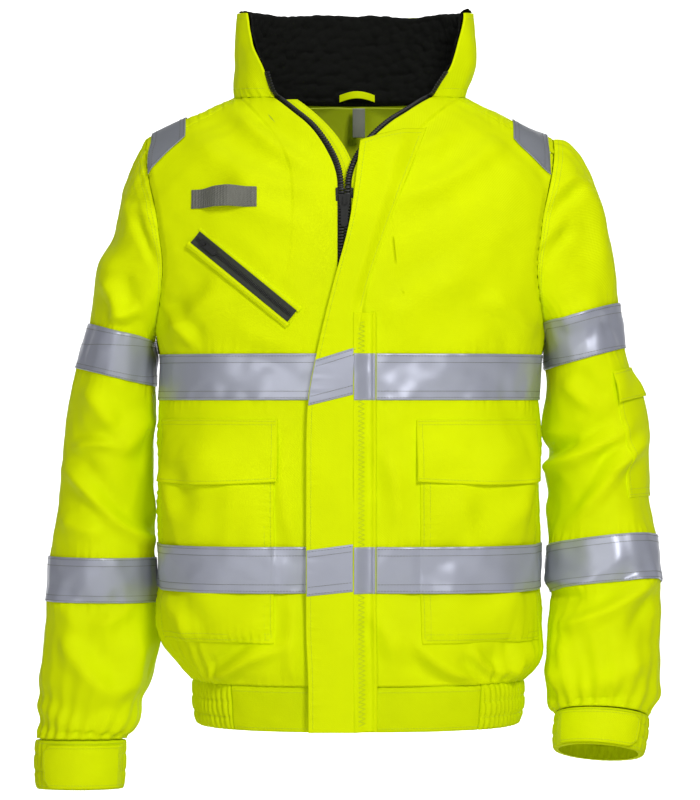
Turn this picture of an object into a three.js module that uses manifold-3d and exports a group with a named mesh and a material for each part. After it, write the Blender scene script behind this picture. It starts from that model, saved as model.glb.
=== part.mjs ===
// A hi-vis foul weather blouson as worn: shells, quilted linings, collar, elastic hem, sleeves, reflective
// tapes, pockets, storm flap, zips and adjusters. Millimetres, +Z up, front towards -Y, wearer's left +X.
// The origin is the middle of the neck opening, level with the back of the collar seam.
import * as THREE from "three";
import { mergeVertices } from "three/addons/utils/BufferGeometryUtils.js";
import Module from "manifold-3d";

const wasm = await Module();
wasm.setup();

// ---------- driving dimensions ----------
const hemBottomZ = -700;
const hemSeamZ = -652;
const chestHalfWidth = 212;
const chestDepth = 150; // centre line of the body to the front
const backDepthMax = 140;
const armpitZ = -272;
const shoulderTipX = 226;
const shoulderTipZ = -50;
const frontTipZ = -70; // the shoulder seam lies in front of the ridge
const neckHalfWidth = 128;
const neckHalfDepth = 80;
const neckCentreY = -10;
const neckFrontZ = -8;
const collarHeight = 92;
const collarTopHalfWidth = 131;
const shellThick = 2;
const liningDepth = 5; // wadding space between a shell's face and its lining
const sleeveLiningDepth = 7;
const liningThick = 3;
const seamGap = 1.5; // between two pieces that are sewn edge to edge
const tapeWide = 50;
const tapeLift = 1;
const tapeThick = 0.8;
const chestTapeTopZ = -292;
const waistTapeTopZ = -500;
const zipX = -6;
const zipTopZ = -112;
const zipGap = 7.5; // teeth line to the edge of the cloth
const flapHingeX = 4;
const flapLift = 8.6; // storm flap over the front, which clears the slider and its puller
const flapThick = 2.4;
const pocketInnerX = 76;
const pocketOuterShare = 0.82;
const pocketTopZ = -400;
const pocketBottomZ = -604;
const pocketDeep = 16;
const pocketFlapTopZ = -363;
const pocketFlapBottomZ = -430;
const elbowZ = -478;
const rightCuffZ = -722;
const leftCuffZ = -690; // the left arm is bent forwards
const cuffLong = 54;
const leftCuffLong = 39;
const collarZipShare = 0.27;

// ---------- small helpers ----------
const { sin, cos, asin, pow, abs, min, max, PI, hypot } = Math;
const lerp = (a, b, t) => a + (b - a) * t;
const clamp01 = (t) => min(1, max(0, t));
const smooth = (t) => clamp01(t) ** 2 * (3 - 2 * clamp01(t));
const mix3 = (a, b, t) => a.map((c, i) => lerp(c, b[i], t));
const rad = (degrees) => (degrees * PI) / 180;

// A smooth curve through [place, value] stations, by cubic steps with averaged slopes.
function through(stations) {
  const slope = stations.map((s, i) => {
    const a = stations[max(0, i - 1)], b = stations[min(stations.length - 1, i + 1)];
    return (b[1] - a[1]) / (b[0] - a[0]);
  });
  return (place) => {
    const last = stations.length - 1;
    const p = min(stations[last][0], max(stations[0][0], place));
    let i = 0;
    while (i < last - 1 && p > stations[i + 1][0]) i++;
    const [x0, y0] = stations[i], [x1, y1] = stations[i + 1];
    const w = x1 - x0, t = (p - x0) / w;
    const t2 = t * t, t3 = t2 * t;
    return (
      y0 * (2 * t3 - 3 * t2 + 1) + slope[i] * w * (t3 - 2 * t2 + t) +
      y1 * (3 * t2 - 2 * t3) + slope[i + 1] * w * (t3 - t2)
    );
  };
}

// The unit normal of a surface, by small steps that stay inside it.
function normalAt(surface, u, v, closed) {
  const step = 1e-3;
  const u0 = closed ? u - step : max(0, u - step), u1 = closed ? u + step : min(1, u + step);
  const v0 = max(0, v - step), v1 = min(1, v + step);
  const a = new THREE.Vector3(...surface(u1, v)).sub(new THREE.Vector3(...surface(u0, v)));
  const b = new THREE.Vector3(...surface(u, v1)).sub(new THREE.Vector3(...surface(u, v0)));
  return a.cross(b).normalize();
}

// A closed solid between two offsets of a surface, on a grid. With closed set, u goes round a tube.
// flip is -1 where the surface's own normal points into the garment.
function between(surface, columns, rows, low, high, { closed = false, flip = 1 } = {}) {
  const offset = (o, u, v) => (typeof o === "function" ? o(u, v) : o);
  const places = [], across = closed ? columns : columns + 1;
  for (const side of [low, high])
    for (let j = 0; j <= rows; j++)
      for (let i = 0; i < across; i++) {
        const u = i / columns, v = j / rows;
        const n = normalAt(surface, u, v, closed).multiplyScalar(flip * offset(side, u, v));
        places.push(n.add(new THREE.Vector3(...surface(u, v))));
      }
  const layer = across * (rows + 1);
  const id = (k, i, j) => k * layer + j * across + (closed ? i % columns : i);
  const faces = [];
  const quad = (a, b, c, d) => faces.push([a, b, c], [a, c, d]);
  for (let j = 0; j < rows; j++)
    for (let i = 0; i < columns; i++) {
      quad(id(1, i, j), id(1, i + 1, j), id(1, i + 1, j + 1), id(1, i, j + 1));
      quad(id(0, i, j), id(0, i, j + 1), id(0, i + 1, j + 1), id(0, i + 1, j));
    }
  for (let i = 0; i < columns; i++) {
    quad(id(0, i, 0), id(0, i + 1, 0), id(1, i + 1, 0), id(1, i, 0));
    quad(id(0, i, rows), id(1, i, rows), id(1, i + 1, rows), id(0, i + 1, rows));
  }
  if (!closed)
    for (let j = 0; j < rows; j++) {
      quad(id(0, 0, j), id(1, 0, j), id(1, 0, j + 1), id(0, 0, j + 1));
      quad(id(0, columns, j), id(0, columns, j + 1), id(1, columns, j + 1), id(1, columns, j));
    }
  return solid(places, faces);
}

// A geometry with its faces turned outwards, whichever way they were listed.
function solid(places, faces) {
  let volume = 0;
  for (const [a, b, c] of faces)
    volume += places[a].dot(new THREE.Vector3().crossVectors(places[b], places[c]));
  const turned = volume < 0 ? faces.map(([a, b, c]) => [a, c, b]) : faces;
  const geometry = new THREE.BufferGeometry();
  const flat = places.flatMap((p) => [p.x, p.y, p.z]);
  geometry.setAttribute("position", new THREE.Float32BufferAttribute(flat, 3));
  geometry.setIndex(turned.flat());
  return mergeVertices(geometry, 1e-3);
}

const jacket = new THREE.Group();
const finishes = {};
function finish(name, colour, roughness, metalness = 0) {
  finishes[name] = new THREE.MeshStandardMaterial({ name, color: colour, roughness, metalness });
}
finish("shell", "#dff000", 0.75);
finish("lining", "#a9bb10", 0.8);
finish("fleece", "#1c1d19", 0.95);
finish("tape", "#b2b5c4", 0.35, 0.2);
finish("strap", "#787770", 0.8);
finish("black", "#20211d", 0.55);
finish("zip_cloth", "#31352a", 0.85);
finish("label", "#8d8f86", 0.7);

function add(name, material, geometry) {
  const mesh = new THREE.Mesh(geometry, finishes[material]);
  mesh.name = name;
  jacket.add(mesh);
  return mesh;
}

// ---------- the body's surface ----------
const archStartZ = -170;
const ridgeY = 8;
const bodySquare = 2.5; // superellipse power of a level section
const archSquare = 2.2; // and of the arch over the shoulder
const neckRise = 29;
const halfWidth = through([
  [hemBottomZ, 178], [hemSeamZ, 184], [-612, 204], [-540, chestHalfWidth], [-350, chestHalfWidth - 2],
  [armpitZ, 216], [archStartZ, 238], [shoulderTipZ, 250], [60, 252],
]);
const frontDepth = through([
  [hemBottomZ, 146], [hemSeamZ, 148], [-600, chestDepth], [-125, chestDepth], [-60, 140], [60, 128],
]);
const backDepth = through([
  [hemBottomZ, 118], [hemSeamZ, 122], [-612, 138], [-500, backDepthMax], [-300, backDepthMax],
  [archStartZ, 130], [60, 118],
]);

// Height of the top of the body at a distance from the middle: the shoulder's slope, then the neck.
const neckSideZ = -4.5;
const ridgeZ = through([
  [0, neckSideZ + neckRise], [50, neckSideZ + neckRise - 3], [90, neckSideZ + 14], [neckHalfWidth, neckSideZ],
  [shoulderTipX, shoulderTipZ], [shoulderTipX + 40, shoulderTipZ - 17],
]);

// A level section's depth at x, without the arch; face is -1 for the front and 1 for the back.
function flatY(x, z, face) {
  const share = min(1, abs(x) / halfWidth(z));
  const depth = face < 0 ? frontDepth(z) : backDepth(z);
  return face * depth * pow(max(0, 1 - pow(share, bodySquare)), 1 / bodySquare);
}

function bodyY(x, z, face) {
  const rise = clamp01((z - archStartZ) / (ridgeZ(abs(x)) - archStartZ));
  return lerp(ridgeY, flatY(x, z, face), pow(1 - pow(rise, archSquare), 1 / archSquare));
}

// The side edge of the panels: the side seam, then the armhole.
function edgeX(z) {
  if (z <= armpitZ) return halfWidth(z);
  const share = clamp01((z - armpitZ) / 95);
  const lower = halfWidth(z) * (1 - 0.13 * smooth(share) ** 0.62);
  return lerp(lower, shoulderTipX, smooth((z + 150) / 95));
}

// The front's inner edge: the zip line, then the open V up to the collar.
const openingEndX = { [-1]: -76, [1]: 84 };
function teethX(side, z) {
  const t = clamp01((z - zipTopZ) / (neckFrontZ - zipTopZ));
  return lerp(zipX, openingEndX[side], t * t);
}

// The collar seam, by the angle from the back of the neck.
const collarEndAngle = { [-1]: rad(138), [1]: rad(133) };
const shoulderSeamAngle = rad(110);
function neckRing(a) {
  const drop = lerp(-2, neckFrontZ, ((1 - cos(a)) / 1.75) ** 2);
  return [neckHalfWidth * sin(a), neckCentreY + neckHalfDepth * cos(a), drop];
}
const shoulderSeamZ = (x) => ridgeZ(x) - lerp(6, 20, clamp01((x - neckHalfWidth) / (shoulderTipX - neckHalfWidth)));

// Where a column of the panels stands at a level whose outer edge is at zOut.
function across(u, zOut, inner) {
  const a = halfWidth(zOut), out = edgeX(zOut);
  const share = (a * sin(u * asin(min(1, out / a)))) / out;
  return lerp(inner, out, share);
}

// A front panel: u from the zip to the side seam and armhole, v from the hem seam to the shoulder seam.
const frontRowBias = 1.35; // above 1, the rows come closer together towards the shoulder
const frontSeamShare = 0.994; // leaves the gap of the side seam
const frontNeckX = neckHalfWidth * sin(shoulderSeamAngle);
function frontPanel(side) {
  return (u, v) => {
    v = 1 - pow(1 - v, frontRowBias);
    u *= frontSeamShare;
    const zIn = lerp(hemSeamZ, neckFrontZ, v);
    const inner = teethX(side, zIn) * side + zipGap;
    const top = across(u, frontTipZ, openingEndX[side] * side + zipGap);
    const ring = neckRing(PI - asin(min(1, top / neckHalfWidth)));
    const topZ = top < frontNeckX ? ring[2] : shoulderSeamZ(top);
    const z = lerp(hemSeamZ + seamGap, topZ - seamGap, v);
    const x = across(u, lerp(hemSeamZ + seamGap, frontTipZ - seamGap, v), inner);
    const off = top < frontNeckX ? ring[1] - bodyY(top, topZ - seamGap, -1) : 0;
    return [side * x, bodyY(x, z, -1) + off * pow(v, 8), z];
  };
}

// The back: u from the right side to the left, v from the hem seam over the ridge to the shoulder seam.
const backArchShare = 0.5;
const backNeckShare = 0.45;
const archStep = (angle) => pow(abs(angle), 2 / archSquare);
function backPanel(u, v) {
  const side = u < 0.5 ? -1 : 1, w = abs(2 * u - 1);
  if (v <= backArchShare) {
    const z = lerp(hemSeamZ + seamGap, archStartZ, v / backArchShare);
    const x = across(w, z, 0);
    return [side * x, bodyY(x, z, 1), z];
  }
  const k = (v - backArchShare) / (1 - backArchShare);
  const onNeck = w < backNeckShare;
  const neckPart = w / backNeckShare, seamPart = (w - backNeckShare) / (1 - backNeckShare);
  const end = onNeck ? lerp(rad(58), rad(107), pow(neckPart, 1.6)) : lerp(rad(107), rad(124), seamPart);
  const ring = neckRing(shoulderSeamAngle * min(1, neckPart));
  const topX = onNeck ? ring[0] : lerp(frontNeckX, shoulderTipX, seamPart);
  const angle = k * end;
  const outerZ = archStartZ + (shoulderTipZ - archStartZ) * archStep(sin(min(PI / 2, (angle * PI) / 2 / end)));
  const x = lerp(across(w, outerZ, 0), topX, smooth(k));
  const z = archStartZ + (ridgeZ(x) - archStartZ) * archStep(sin(angle));
  const y = lerp(ridgeY, flatY(x, z, cos(angle) < 0 ? -1 : 1), archStep(cos(angle)));
  if (!onNeck) return [side * x, y, z];
  const endZ = archStartZ + (ridgeZ(topX) - archStartZ) * archStep(sin(end));
  const endY = lerp(ridgeY, flatY(topX, endZ, cos(end) < 0 ? -1 : 1), archStep(cos(end)));
  const pull = pow(k, 5);
  return [side * x, y + pull * (ring[1] - endY), z + pull * (ring[2] - seamGap - endZ)];
}

// A patch of the front or back in levels: u from x share 0 to 1 across, z between two heights.
function bodyBand(side, face, from, to, lowZ, highZ) {
  return (u, v) => {
    const z = typeof lowZ === "function" ? lerp(lowZ(u), highZ(u), v) : lerp(lowZ, highZ, v);
    const x = across(lerp(from, to, u), z, 0);
    return [side * x, bodyY(x, z, face), z];
  };
}
const bandBack = (lowZ, highZ) => (u, v) => {
  const side = u < 0.5 ? -1 : 1, z = lerp(lowZ, highZ, v);
  const x = across(abs(2 * u - 1), z, 0);
  return [side * x, bodyY(x, z, 1), z];
};
// The share across at which the front stands at x.
function shareAt(x, z) {
  return asin(min(1, x / halfWidth(z))) / asin(min(1, edgeX(z) / halfWidth(z)));
}
// A point on the front at x and z, with its outward normal.
function onFront(x, z) {
  const surface = (u, v) => [x + u - 0.5, bodyY(x + u - 0.5, z + v - 0.5, -1), z + v - 0.5];
  return { at: new THREE.Vector3(x, bodyY(x, z, -1), z), out: normalAt(surface, 0.5, 0.5) };
}

// ---------- shells and linings ----------
const sides = [{ side: -1, name: "right" }, { side: 1, name: "left" }];
for (const { side, name } of sides) {
  const panel = frontPanel(side);
  add(`${name}_front_shell`, "shell", between(panel, 11, 16, -shellThick, 0, { flip: side }));
  const inner = (u, v) => panel(lerp(0.07, 0.985, u), lerp(0.01, 0.92, v));
  add(`${name}_front_lining`, "lining",
    between(inner, 8, 9, -liningDepth - liningThick, -liningDepth, { flip: side }));
}
add("back_shell", "shell", between(backPanel, 24, 18, -shellThick, 0, { flip: -1 }));
add("back_lining", "lining",
  between((u, v) => backPanel(lerp(0.02, 0.98, u), lerp(0.01, 0.94, v)), 12, 10,
    -liningDepth - liningThick, -liningDepth, { flip: -1 }));

// ---------- hem band: plain fronts and an elastic back that reaches round the sides ----------
const hemPlainShare = 0.53;
const hemTopZ = hemSeamZ - seamGap;
for (const { side, name } of sides) {
  const from = (zipX * side + zipGap) / halfWidth(hemBottomZ) / 1.4;
  add(`${name}_hem_band`, "shell",
    between(bodyBand(side, -1, max(0.004, from), hemPlainShare, hemBottomZ, hemTopZ), 8, 1, -4, 0.5, { flip: side }));
}
const hemElastic = (u, v) => {
  const frontPart = 0.24, z = lerp(hemBottomZ, hemTopZ, v);
  const side = u < 0.5 ? -1 : 1, w = 1 - abs(2 * u - 1);
  if (w >= frontPart) {
    const x = across(1 - (w - frontPart) / (1 - frontPart), z, 0);
    return [side * x, bodyY(x, z, 1), z];
  }
  const x = across(lerp(hemPlainShare + 0.012, 1, w / frontPart), z, 0);
  return [side * x, bodyY(x, z, -1), z];
};
add("hem_elastic", "shell", between(hemElastic, 32, 1, -5, 1, { flip: -1 }));

// ---------- collar ----------
const collarTopAngle = rad(112);
function collar(u, h) {
  const s = 2 * u - 1, endAngle = collarEndAngle[s < 0 ? -1 : 1];
  const a = s * lerp(endAngle, collarTopAngle, h);
  const base = neckRing(abs(s) * endAngle);
  const wide = lerp(neckHalfWidth, collarTopHalfWidth, h) + 3 * sin(PI * h);
  const topZ = collarHeight - 6 * s * s;
  return [wide * sin(a), lerp(neckCentreY, -8, h) + lerp(neckHalfDepth, 86, h) * cos(a), lerp(base[2] + seamGap, topZ, h)];
}
add("collar_shell", "shell", between(collar, 24, 4, -1, 2, { flip: -1 }));
add("collar_fleece", "fleece", between(collar, 24, 4, -9.5, -1.6, { flip: -1 }));

// Hanger loop and label, inside the back of the neck.
const loopX = 8, loopHalf = 20, loopStand = 9;
const loopFromRing = 12;
function insideRing(x) {
  return neckCentreY + (neckHalfDepth - loopFromRing) * Math.sqrt(1 - (x / (neckHalfWidth - loopFromRing)) ** 2);
}
add("hanger_loop", "shell",
  between((u, v) => {
    const x = loopX + loopHalf * (2 * u - 1);
    return [x, insideRing(x) - loopStand * sin(PI * u), -5 + 8 * v + 4 * sin(PI * u)];
  }, 10, 1, -1.2, 0));
const labelTopZ = -12;
add("neck_label", "label",
  between((u, v) => [loopX - 5 + 14 * u, 58 + 12 * (1 - v), labelTopZ - 32 * (1 - v)], 1, 4, -0.8, 0));

// ---------- reflective tape ----------
const tapeHigh = tapeLift + tapeThick;
const tapeLevels = { chest: chestTapeTopZ, waist: waistTapeTopZ };
for (const [level, topZ] of Object.entries(tapeLevels)) {
  for (const { side, name } of sides) {
    const startX = side < 0 ? 14 : 28;
    const from = shareAt(startX, topZ);
    const overPocket = level === "waist" ? pocketLift(side, from) : 0;
    add(`${level}_tape_${name}`, "tape",
      between(bodyBand(side, -1, from, 0.997, topZ - tapeWide, topZ), 16, 2,
        (u, v) => tapeLift + (overPocket ? overPocket(u, v) : 0),
        (u, v) => tapeHigh + (overPocket ? overPocket(u, v) : 0), { flip: side }));
  }
  add(`${level}_tape_back`, "tape",
    between((u, v) => bandBack(topZ - tapeWide, topZ)(lerp(0.004, 0.996, u), v), 24, 1, tapeLift, tapeHigh, { flip: -1 }));
}
// The waist tape rides up over the patch pocket, by the pocket's own bulge and cloth.
function pocketLift(side, from) {
  return (u, v) => {
    const share = lerp(from, 0.997, u), z = waistTapeTopZ - tapeWide * (1 - v);
    const inner = shareAt(pocketInnerX, z), outer = pocketOuterShare;
    const p = (share - inner) / (outer - inner);
    const onto = smooth((p + 0.16) / 0.12) * smooth((1.16 - p) / 0.12);
    return onto * (pocketBulge(clamp01(p), (z - pocketBottomZ) / (pocketTopZ - pocketBottomZ)) + 3.2);
  };
}
// Brace tapes: from the shoulder seam over the ridge and down the back to the chest tape.
const braceInner = 0.77, braceOuter = 0.955, braceLift = 2.6;
for (const { side, name } of sides)
  add(`brace_tape_${name}`, "tape",
    between((u, v) => {
      const w = lerp(braceInner, braceOuter, u);
      const bottom = (chestTapeTopZ + 1 - hemSeamZ) / (archStartZ - hemSeamZ) * backArchShare;
      return backPanel(0.5 + (side * w) / 2, lerp(bottom, 1, v));
    }, 4, 13, braceLift, braceLift + tapeThick, { flip: -side }));

// ---------- patch pockets with flaps ----------
function pocketBulge(u, v) {
  return pocketDeep * pow(max(0, sin(PI * u)), 0.6) * pow(clamp01(v), 0.45);
}
function pocketSurface(side, lowZ, highZ) {
  return (u, v) => {
    const z = lerp(lowZ, highZ, v);
    const x = across(lerp(shareAt(pocketInnerX, z), pocketOuterShare, u), z, 0);
    return [side * x, bodyY(x, z, -1), z];
  };
}
for (const { side, name } of sides) {
  add(`${name}_pocket`, "shell",
    between(pocketSurface(side, pocketBottomZ, pocketTopZ), 10, 5,
      (u, v) => 0.8 + pocketBulge(u, v), (u, v) => 2.6 + pocketBulge(u, v), { flip: side }));
  const flap = pocketSurface(side, pocketFlapBottomZ, pocketFlapTopZ);
  const wider = (u, v) => flap(lerp(-0.02, 1.02, u), v);
  const lift = (v) => lerp(pocketDeep + 4.2, 1.2, smooth((v - 0.45) / 0.55));
  add(`${name}_pocket_flap`, "shell",
    between(wider, 10, 4, (u, v) => lift(v), (u, v) => lift(v) + 2.2, { flip: side }));
}

// ---------- main zip ----------
const zipBottomZ = hemBottomZ + 10;
const zipFaceY = -chestDepth;
function teethLine(side, inset) {
  // Up the centre, along the V, then up the collar's front edge.
  const lowPart = 0.62, veePart = 0.85;
  return (v) => {
    if (v <= lowPart) return [zipX + side * inset, zipFaceY, lerp(zipBottomZ, zipTopZ, v / lowPart)];
    if (v <= veePart) {
      const z = lerp(zipTopZ, neckFrontZ, (v - lowPart) / (veePart - lowPart));
      const x = teethX(side, z) + side * inset;
      return [x, bodyY(x, z, -1), z];
    }
    const h = ((v - veePart) / (1 - veePart)) * collarZipShare;
    const edge = collar(side < 0 ? 0 : 1, h), ahead = zipGap - inset + 1;
    const turn = collarEndAngle[side];
    return [edge[0] + side * ahead * cos(turn), edge[1] - ahead * sin(turn) - 2, edge[2]];
  };
}
for (const { side, name } of sides) {
  const inner = teethLine(side, 1.8), outer = teethLine(side, 5.2);
  add(`main_zip_${name}`, "black",
    between((u, v) => mix3(inner(v), outer(v), u), 1, 26, -2.6, 0.6, { flip: side }));
}
// The facing behind the zip, from the hem to the collar on the right front.
const guardSurface = (u, v) => {
  const z = lerp(hemBottomZ + 6, neckFrontZ - 4, v);
  const x = teethX(-1, z) + lerp(-15, 13, u);
  return [x, bodyY(x, z, -1), z];
};
add("zip_facing", "shell", between(guardSurface, 2, 16, -12, -10));

function box(wide, deep, tall) {
  return new THREE.BoxGeometry(wide, deep, tall);
}
function outlineSolid(points, depth) {
  const shape = new THREE.Shape(points.map(([x, y]) => new THREE.Vector2(x, y)));
  return new THREE.ExtrudeGeometry(shape, { depth, bevelEnabled: false, steps: 1 });
}
function merged(geometries) {
  const solids = geometries.map((g) => {
    const bare = g.clone().deleteAttribute("normal").deleteAttribute("uv");
    const m = mergeVertices(bare, 1e-3);
    return new wasm.Manifold(new wasm.Mesh({
      numProp: 3, vertProperties: m.attributes.position.array, triVerts: new Uint32Array(m.index.array),
    }));
  });
  const all = solids.reduce((a, b) => a.add(b)).getMesh();
  const joined = new THREE.BufferGeometry();
  joined.setAttribute("position", new THREE.BufferAttribute(new Float32Array(all.vertProperties), 3));
  joined.setIndex(new THREE.BufferAttribute(new Uint32Array(all.triVerts), 1));
  return joined;
}

// A slider: two plates round the chain, a post between them and a bail for the puller. It lies in the
// XZ plane facing -Y, with its own origin in the middle of the chain.
function sliderBody(wide, long, plate, mouth) {
  const outline = [[-wide / 2, long / 2], [-wide * 0.36, -long / 2], [wide * 0.36, -long / 2], [wide / 2, long / 2]];
  const lay = (g, y) => g.rotateX(PI / 2).translate(0, y, 0);
  const front = lay(outlineSolid(outline, plate), -mouth / 2);
  const back = lay(outlineSolid(outline, plate), mouth / 2 + plate);
  const post = box(2.2, mouth + plate, long * 0.5).translate(0, 0, long * 0.18);
  const bailOut = 2.4;
  const bailTop = box(3, bailOut, 2).translate(0, -mouth / 2 - plate - bailOut / 2 + 0.2, long * 0.34);
  const bailLow = box(3, bailOut, 2).translate(0, -mouth / 2 - plate - bailOut / 2 + 0.2, -long * 0.12);
  const bridge = box(3, 1.2, long * 0.6).translate(0, -mouth / 2 - plate - bailOut - 0.2, long * 0.11);
  return merged([front, back, post, bailTop, bailLow, bridge]);
}
// A puller: a flat tab with an eye round the bail's bridge, hanging from z = 0.
function pullerTab(wide, long, thick) {
  const shape = new THREE.Shape();
  const half = wide / 2;
  shape.moveTo(-half * 0.7, 2.6);
  shape.lineTo(half * 0.7, 2.6);
  shape.lineTo(half, -long * 0.35);
  shape.lineTo(half, -long + half * 0.6);
  shape.absarc(0, -long + half * 0.6, half, 0, -PI, true);
  shape.lineTo(-half, -long * 0.35);
  const eye = new THREE.Path();
  eye.moveTo(-2.1, -2.9);
  eye.lineTo(2.1, -2.9);
  eye.lineTo(2.1, 0.9);
  eye.lineTo(-2.1, 0.9);
  shape.holes.push(eye);
  return new THREE.ExtrudeGeometry(shape, { depth: thick, bevelEnabled: false, curveSegments: 8 })
    .rotateX(PI / 2).translate(0, thick / 2, 0);
}
const sliderZ = -129, chainDepth = 1;
const slider = add("main_zip_slider", "black", sliderBody(13, 17, 1.8, 4.6));
slider.position.set(zipX, zipFaceY + chainDepth, sliderZ);
const puller = add("main_zip_puller", "black", pullerTab(8, 24, 0.9));
puller.position.set(zipX, zipFaceY + chainDepth - 5.1, sliderZ - 1.2);
add("zip_bottom_box", "black", box(9, 4, 8).translate(zipX, zipFaceY + chainDepth, zipBottomZ - 5));

// ---------- storm flap over the zip ----------
const flapFreeX = through([
  [hemBottomZ, -47], [-430, -47], [-342, -45], [-288, -35], [-218, -18], [-148, 0], [-67, 11],
]);
const flapSewnX = through([
  [hemBottomZ, flapHingeX], [-342, flapHingeX], [-292, 6], [-224, 18], [-162, 38], [-125, 52], [-66, 76], [-20, 92],
]);
const flapSplitZ = -262;
const hemLevelZ = hemBottomZ + 1;
const flapLower = (u, v) => {
  const z = lerp(hemLevelZ, flapSplitZ - 1, v);
  const x = lerp(flapFreeX(z), flapHingeX - 0.6, u);
  return [x, zipFaceY, z];
};
add("storm_flap", "shell", between(flapLower, 2, 10, flapLift, flapLift + flapThick));
const flapTopFreeZ = -68, flapTopSewnZ = -46;
const flapUpper = (u, v) => {
  const z = lerp(flapSplitZ + 1, lerp(flapTopFreeZ, flapTopSewnZ, u), v);
  const x = lerp(flapFreeX(z), flapSewnX(z) - 0.6, u);
  return [x, bodyY(x, z, -1), z];
};
add("storm_flap_top", "shell", between(flapUpper, 6, 8, flapLift, flapLift + flapThick));
const seamBand = (u, v) => {
  const z = lerp(hemLevelZ, flapSplitZ - 1, v);
  const x = lerp(flapHingeX, flapHingeX + 20, u);
  return [x, bodyY(x, z, -1), z];
};
add("storm_flap_seam", "shell", between(seamBand, 2, 6, 1, (u) => lerp(7.6, 2.4, u)));
for (const [level, topZ] of Object.entries(tapeLevels))
  add(`${level}_tape_flap`, "tape",
    between((u, v) => {
      const z = topZ - tapeWide * (1 - v);
      return [lerp(flapFreeX(z) + 0.6, flapHingeX - 4, u), zipFaceY, z];
    }, 2, 2, flapLift + flapThick + 0.4, flapLift + flapThick + 0.4 + tapeThick));

// ---------- chest pocket zip: a strip bent to an arc, its slider and its puller ----------
const stripEnds = [[-166, -166], [-62, -252]];
const stripWide = 16;
const stripArc = (() => {
  const lift = 2.4;
  const at = [0, 0.5, 1].map((t) => {
    const { at: p, out } = onFront(lerp(stripEnds[0][0], stripEnds[1][0], t), lerp(stripEnds[0][1], stripEnds[1][1], t));
    return p.addScaledVector(out, lift);
  });
  const [a, b, c] = at;
  const ab = b.clone().sub(a), ac = c.clone().sub(a);
  const axis = ab.clone().cross(ac);
  const toCentre = axis.clone().cross(ab).multiplyScalar(ac.lengthSq())
    .add(ac.clone().cross(axis).multiplyScalar(ab.lengthSq())).divideScalar(2 * axis.lengthSq());
  const centre = a.clone().add(toCentre);
  const start = a.clone().sub(centre), end = c.clone().sub(centre);
  const angle = start.angleTo(end);
  return { centre, axis: axis.normalize(), start, angle };
})();
const onStrip = (t) => stripArc.start.clone().applyAxisAngle(stripArc.axis, t * stripArc.angle).add(stripArc.centre);
const stripSurface = (u, v) =>
  onStrip(v).addScaledVector(stripArc.axis, stripWide * (u - 0.5)).toArray();
add("chest_zip", "zip_cloth", between(stripSurface, 2, 8, 0, 1.6, { flip: -1 }));
// Places a small part on the strip at a share of its length: its +Z along the strip towards the start.
function placeOnStrip(mesh, share, lift) {
  const at = onStrip(share), out = at.clone().sub(stripArc.centre).normalize();
  const along = stripArc.axis.clone().cross(out).negate();
  const acrossStrip = along.clone().cross(out);
  mesh.quaternion.setFromRotationMatrix(new THREE.Matrix4().makeBasis(acrossStrip, out.clone().negate(), along));
  mesh.position.copy(at.addScaledVector(out, lift));
  return mesh;
}
const chestSliderBody = merged([
  box(8, 2, 11).translate(0, 0, 0),
  box(2.4, 2.8, 1.6).translate(0, -1.9, 3.6),
  box(2.4, 2.8, 1.6).translate(0, -1.9, -1.2),
  box(2.4, 1, 6.6).translate(0, -3.5, 1.1),
]);
placeOnStrip(add("chest_zip_slider", "black", chestSliderBody), 0.1, 3.2);
placeOnStrip(add("chest_zip_puller", "black",
  pullerTab(7, 17, 0.8)), 0.1, 5.2);

// ---------- strap loop on the right chest ----------
const strapX = -135, strapZ = -125, strapHalf = 36, strapTall = 20, strapStand = 12;
const strapSurface = (u, v) => {
  const x = strapX + strapHalf * (2 * u - 1), z = strapZ + strapTall * (v - 0.5);
  return [x, bodyY(x, z, -1), z];
};
const strapLift = (u) => 1 + strapStand * smooth((0.5 - abs(u - 0.5)) / 0.34 - 0.3);
add("radio_loop", "strap", between(strapSurface, 14, 1, (u) => strapLift(u), (u) => strapLift(u) + 1.4, { flip: 1 }));

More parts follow.
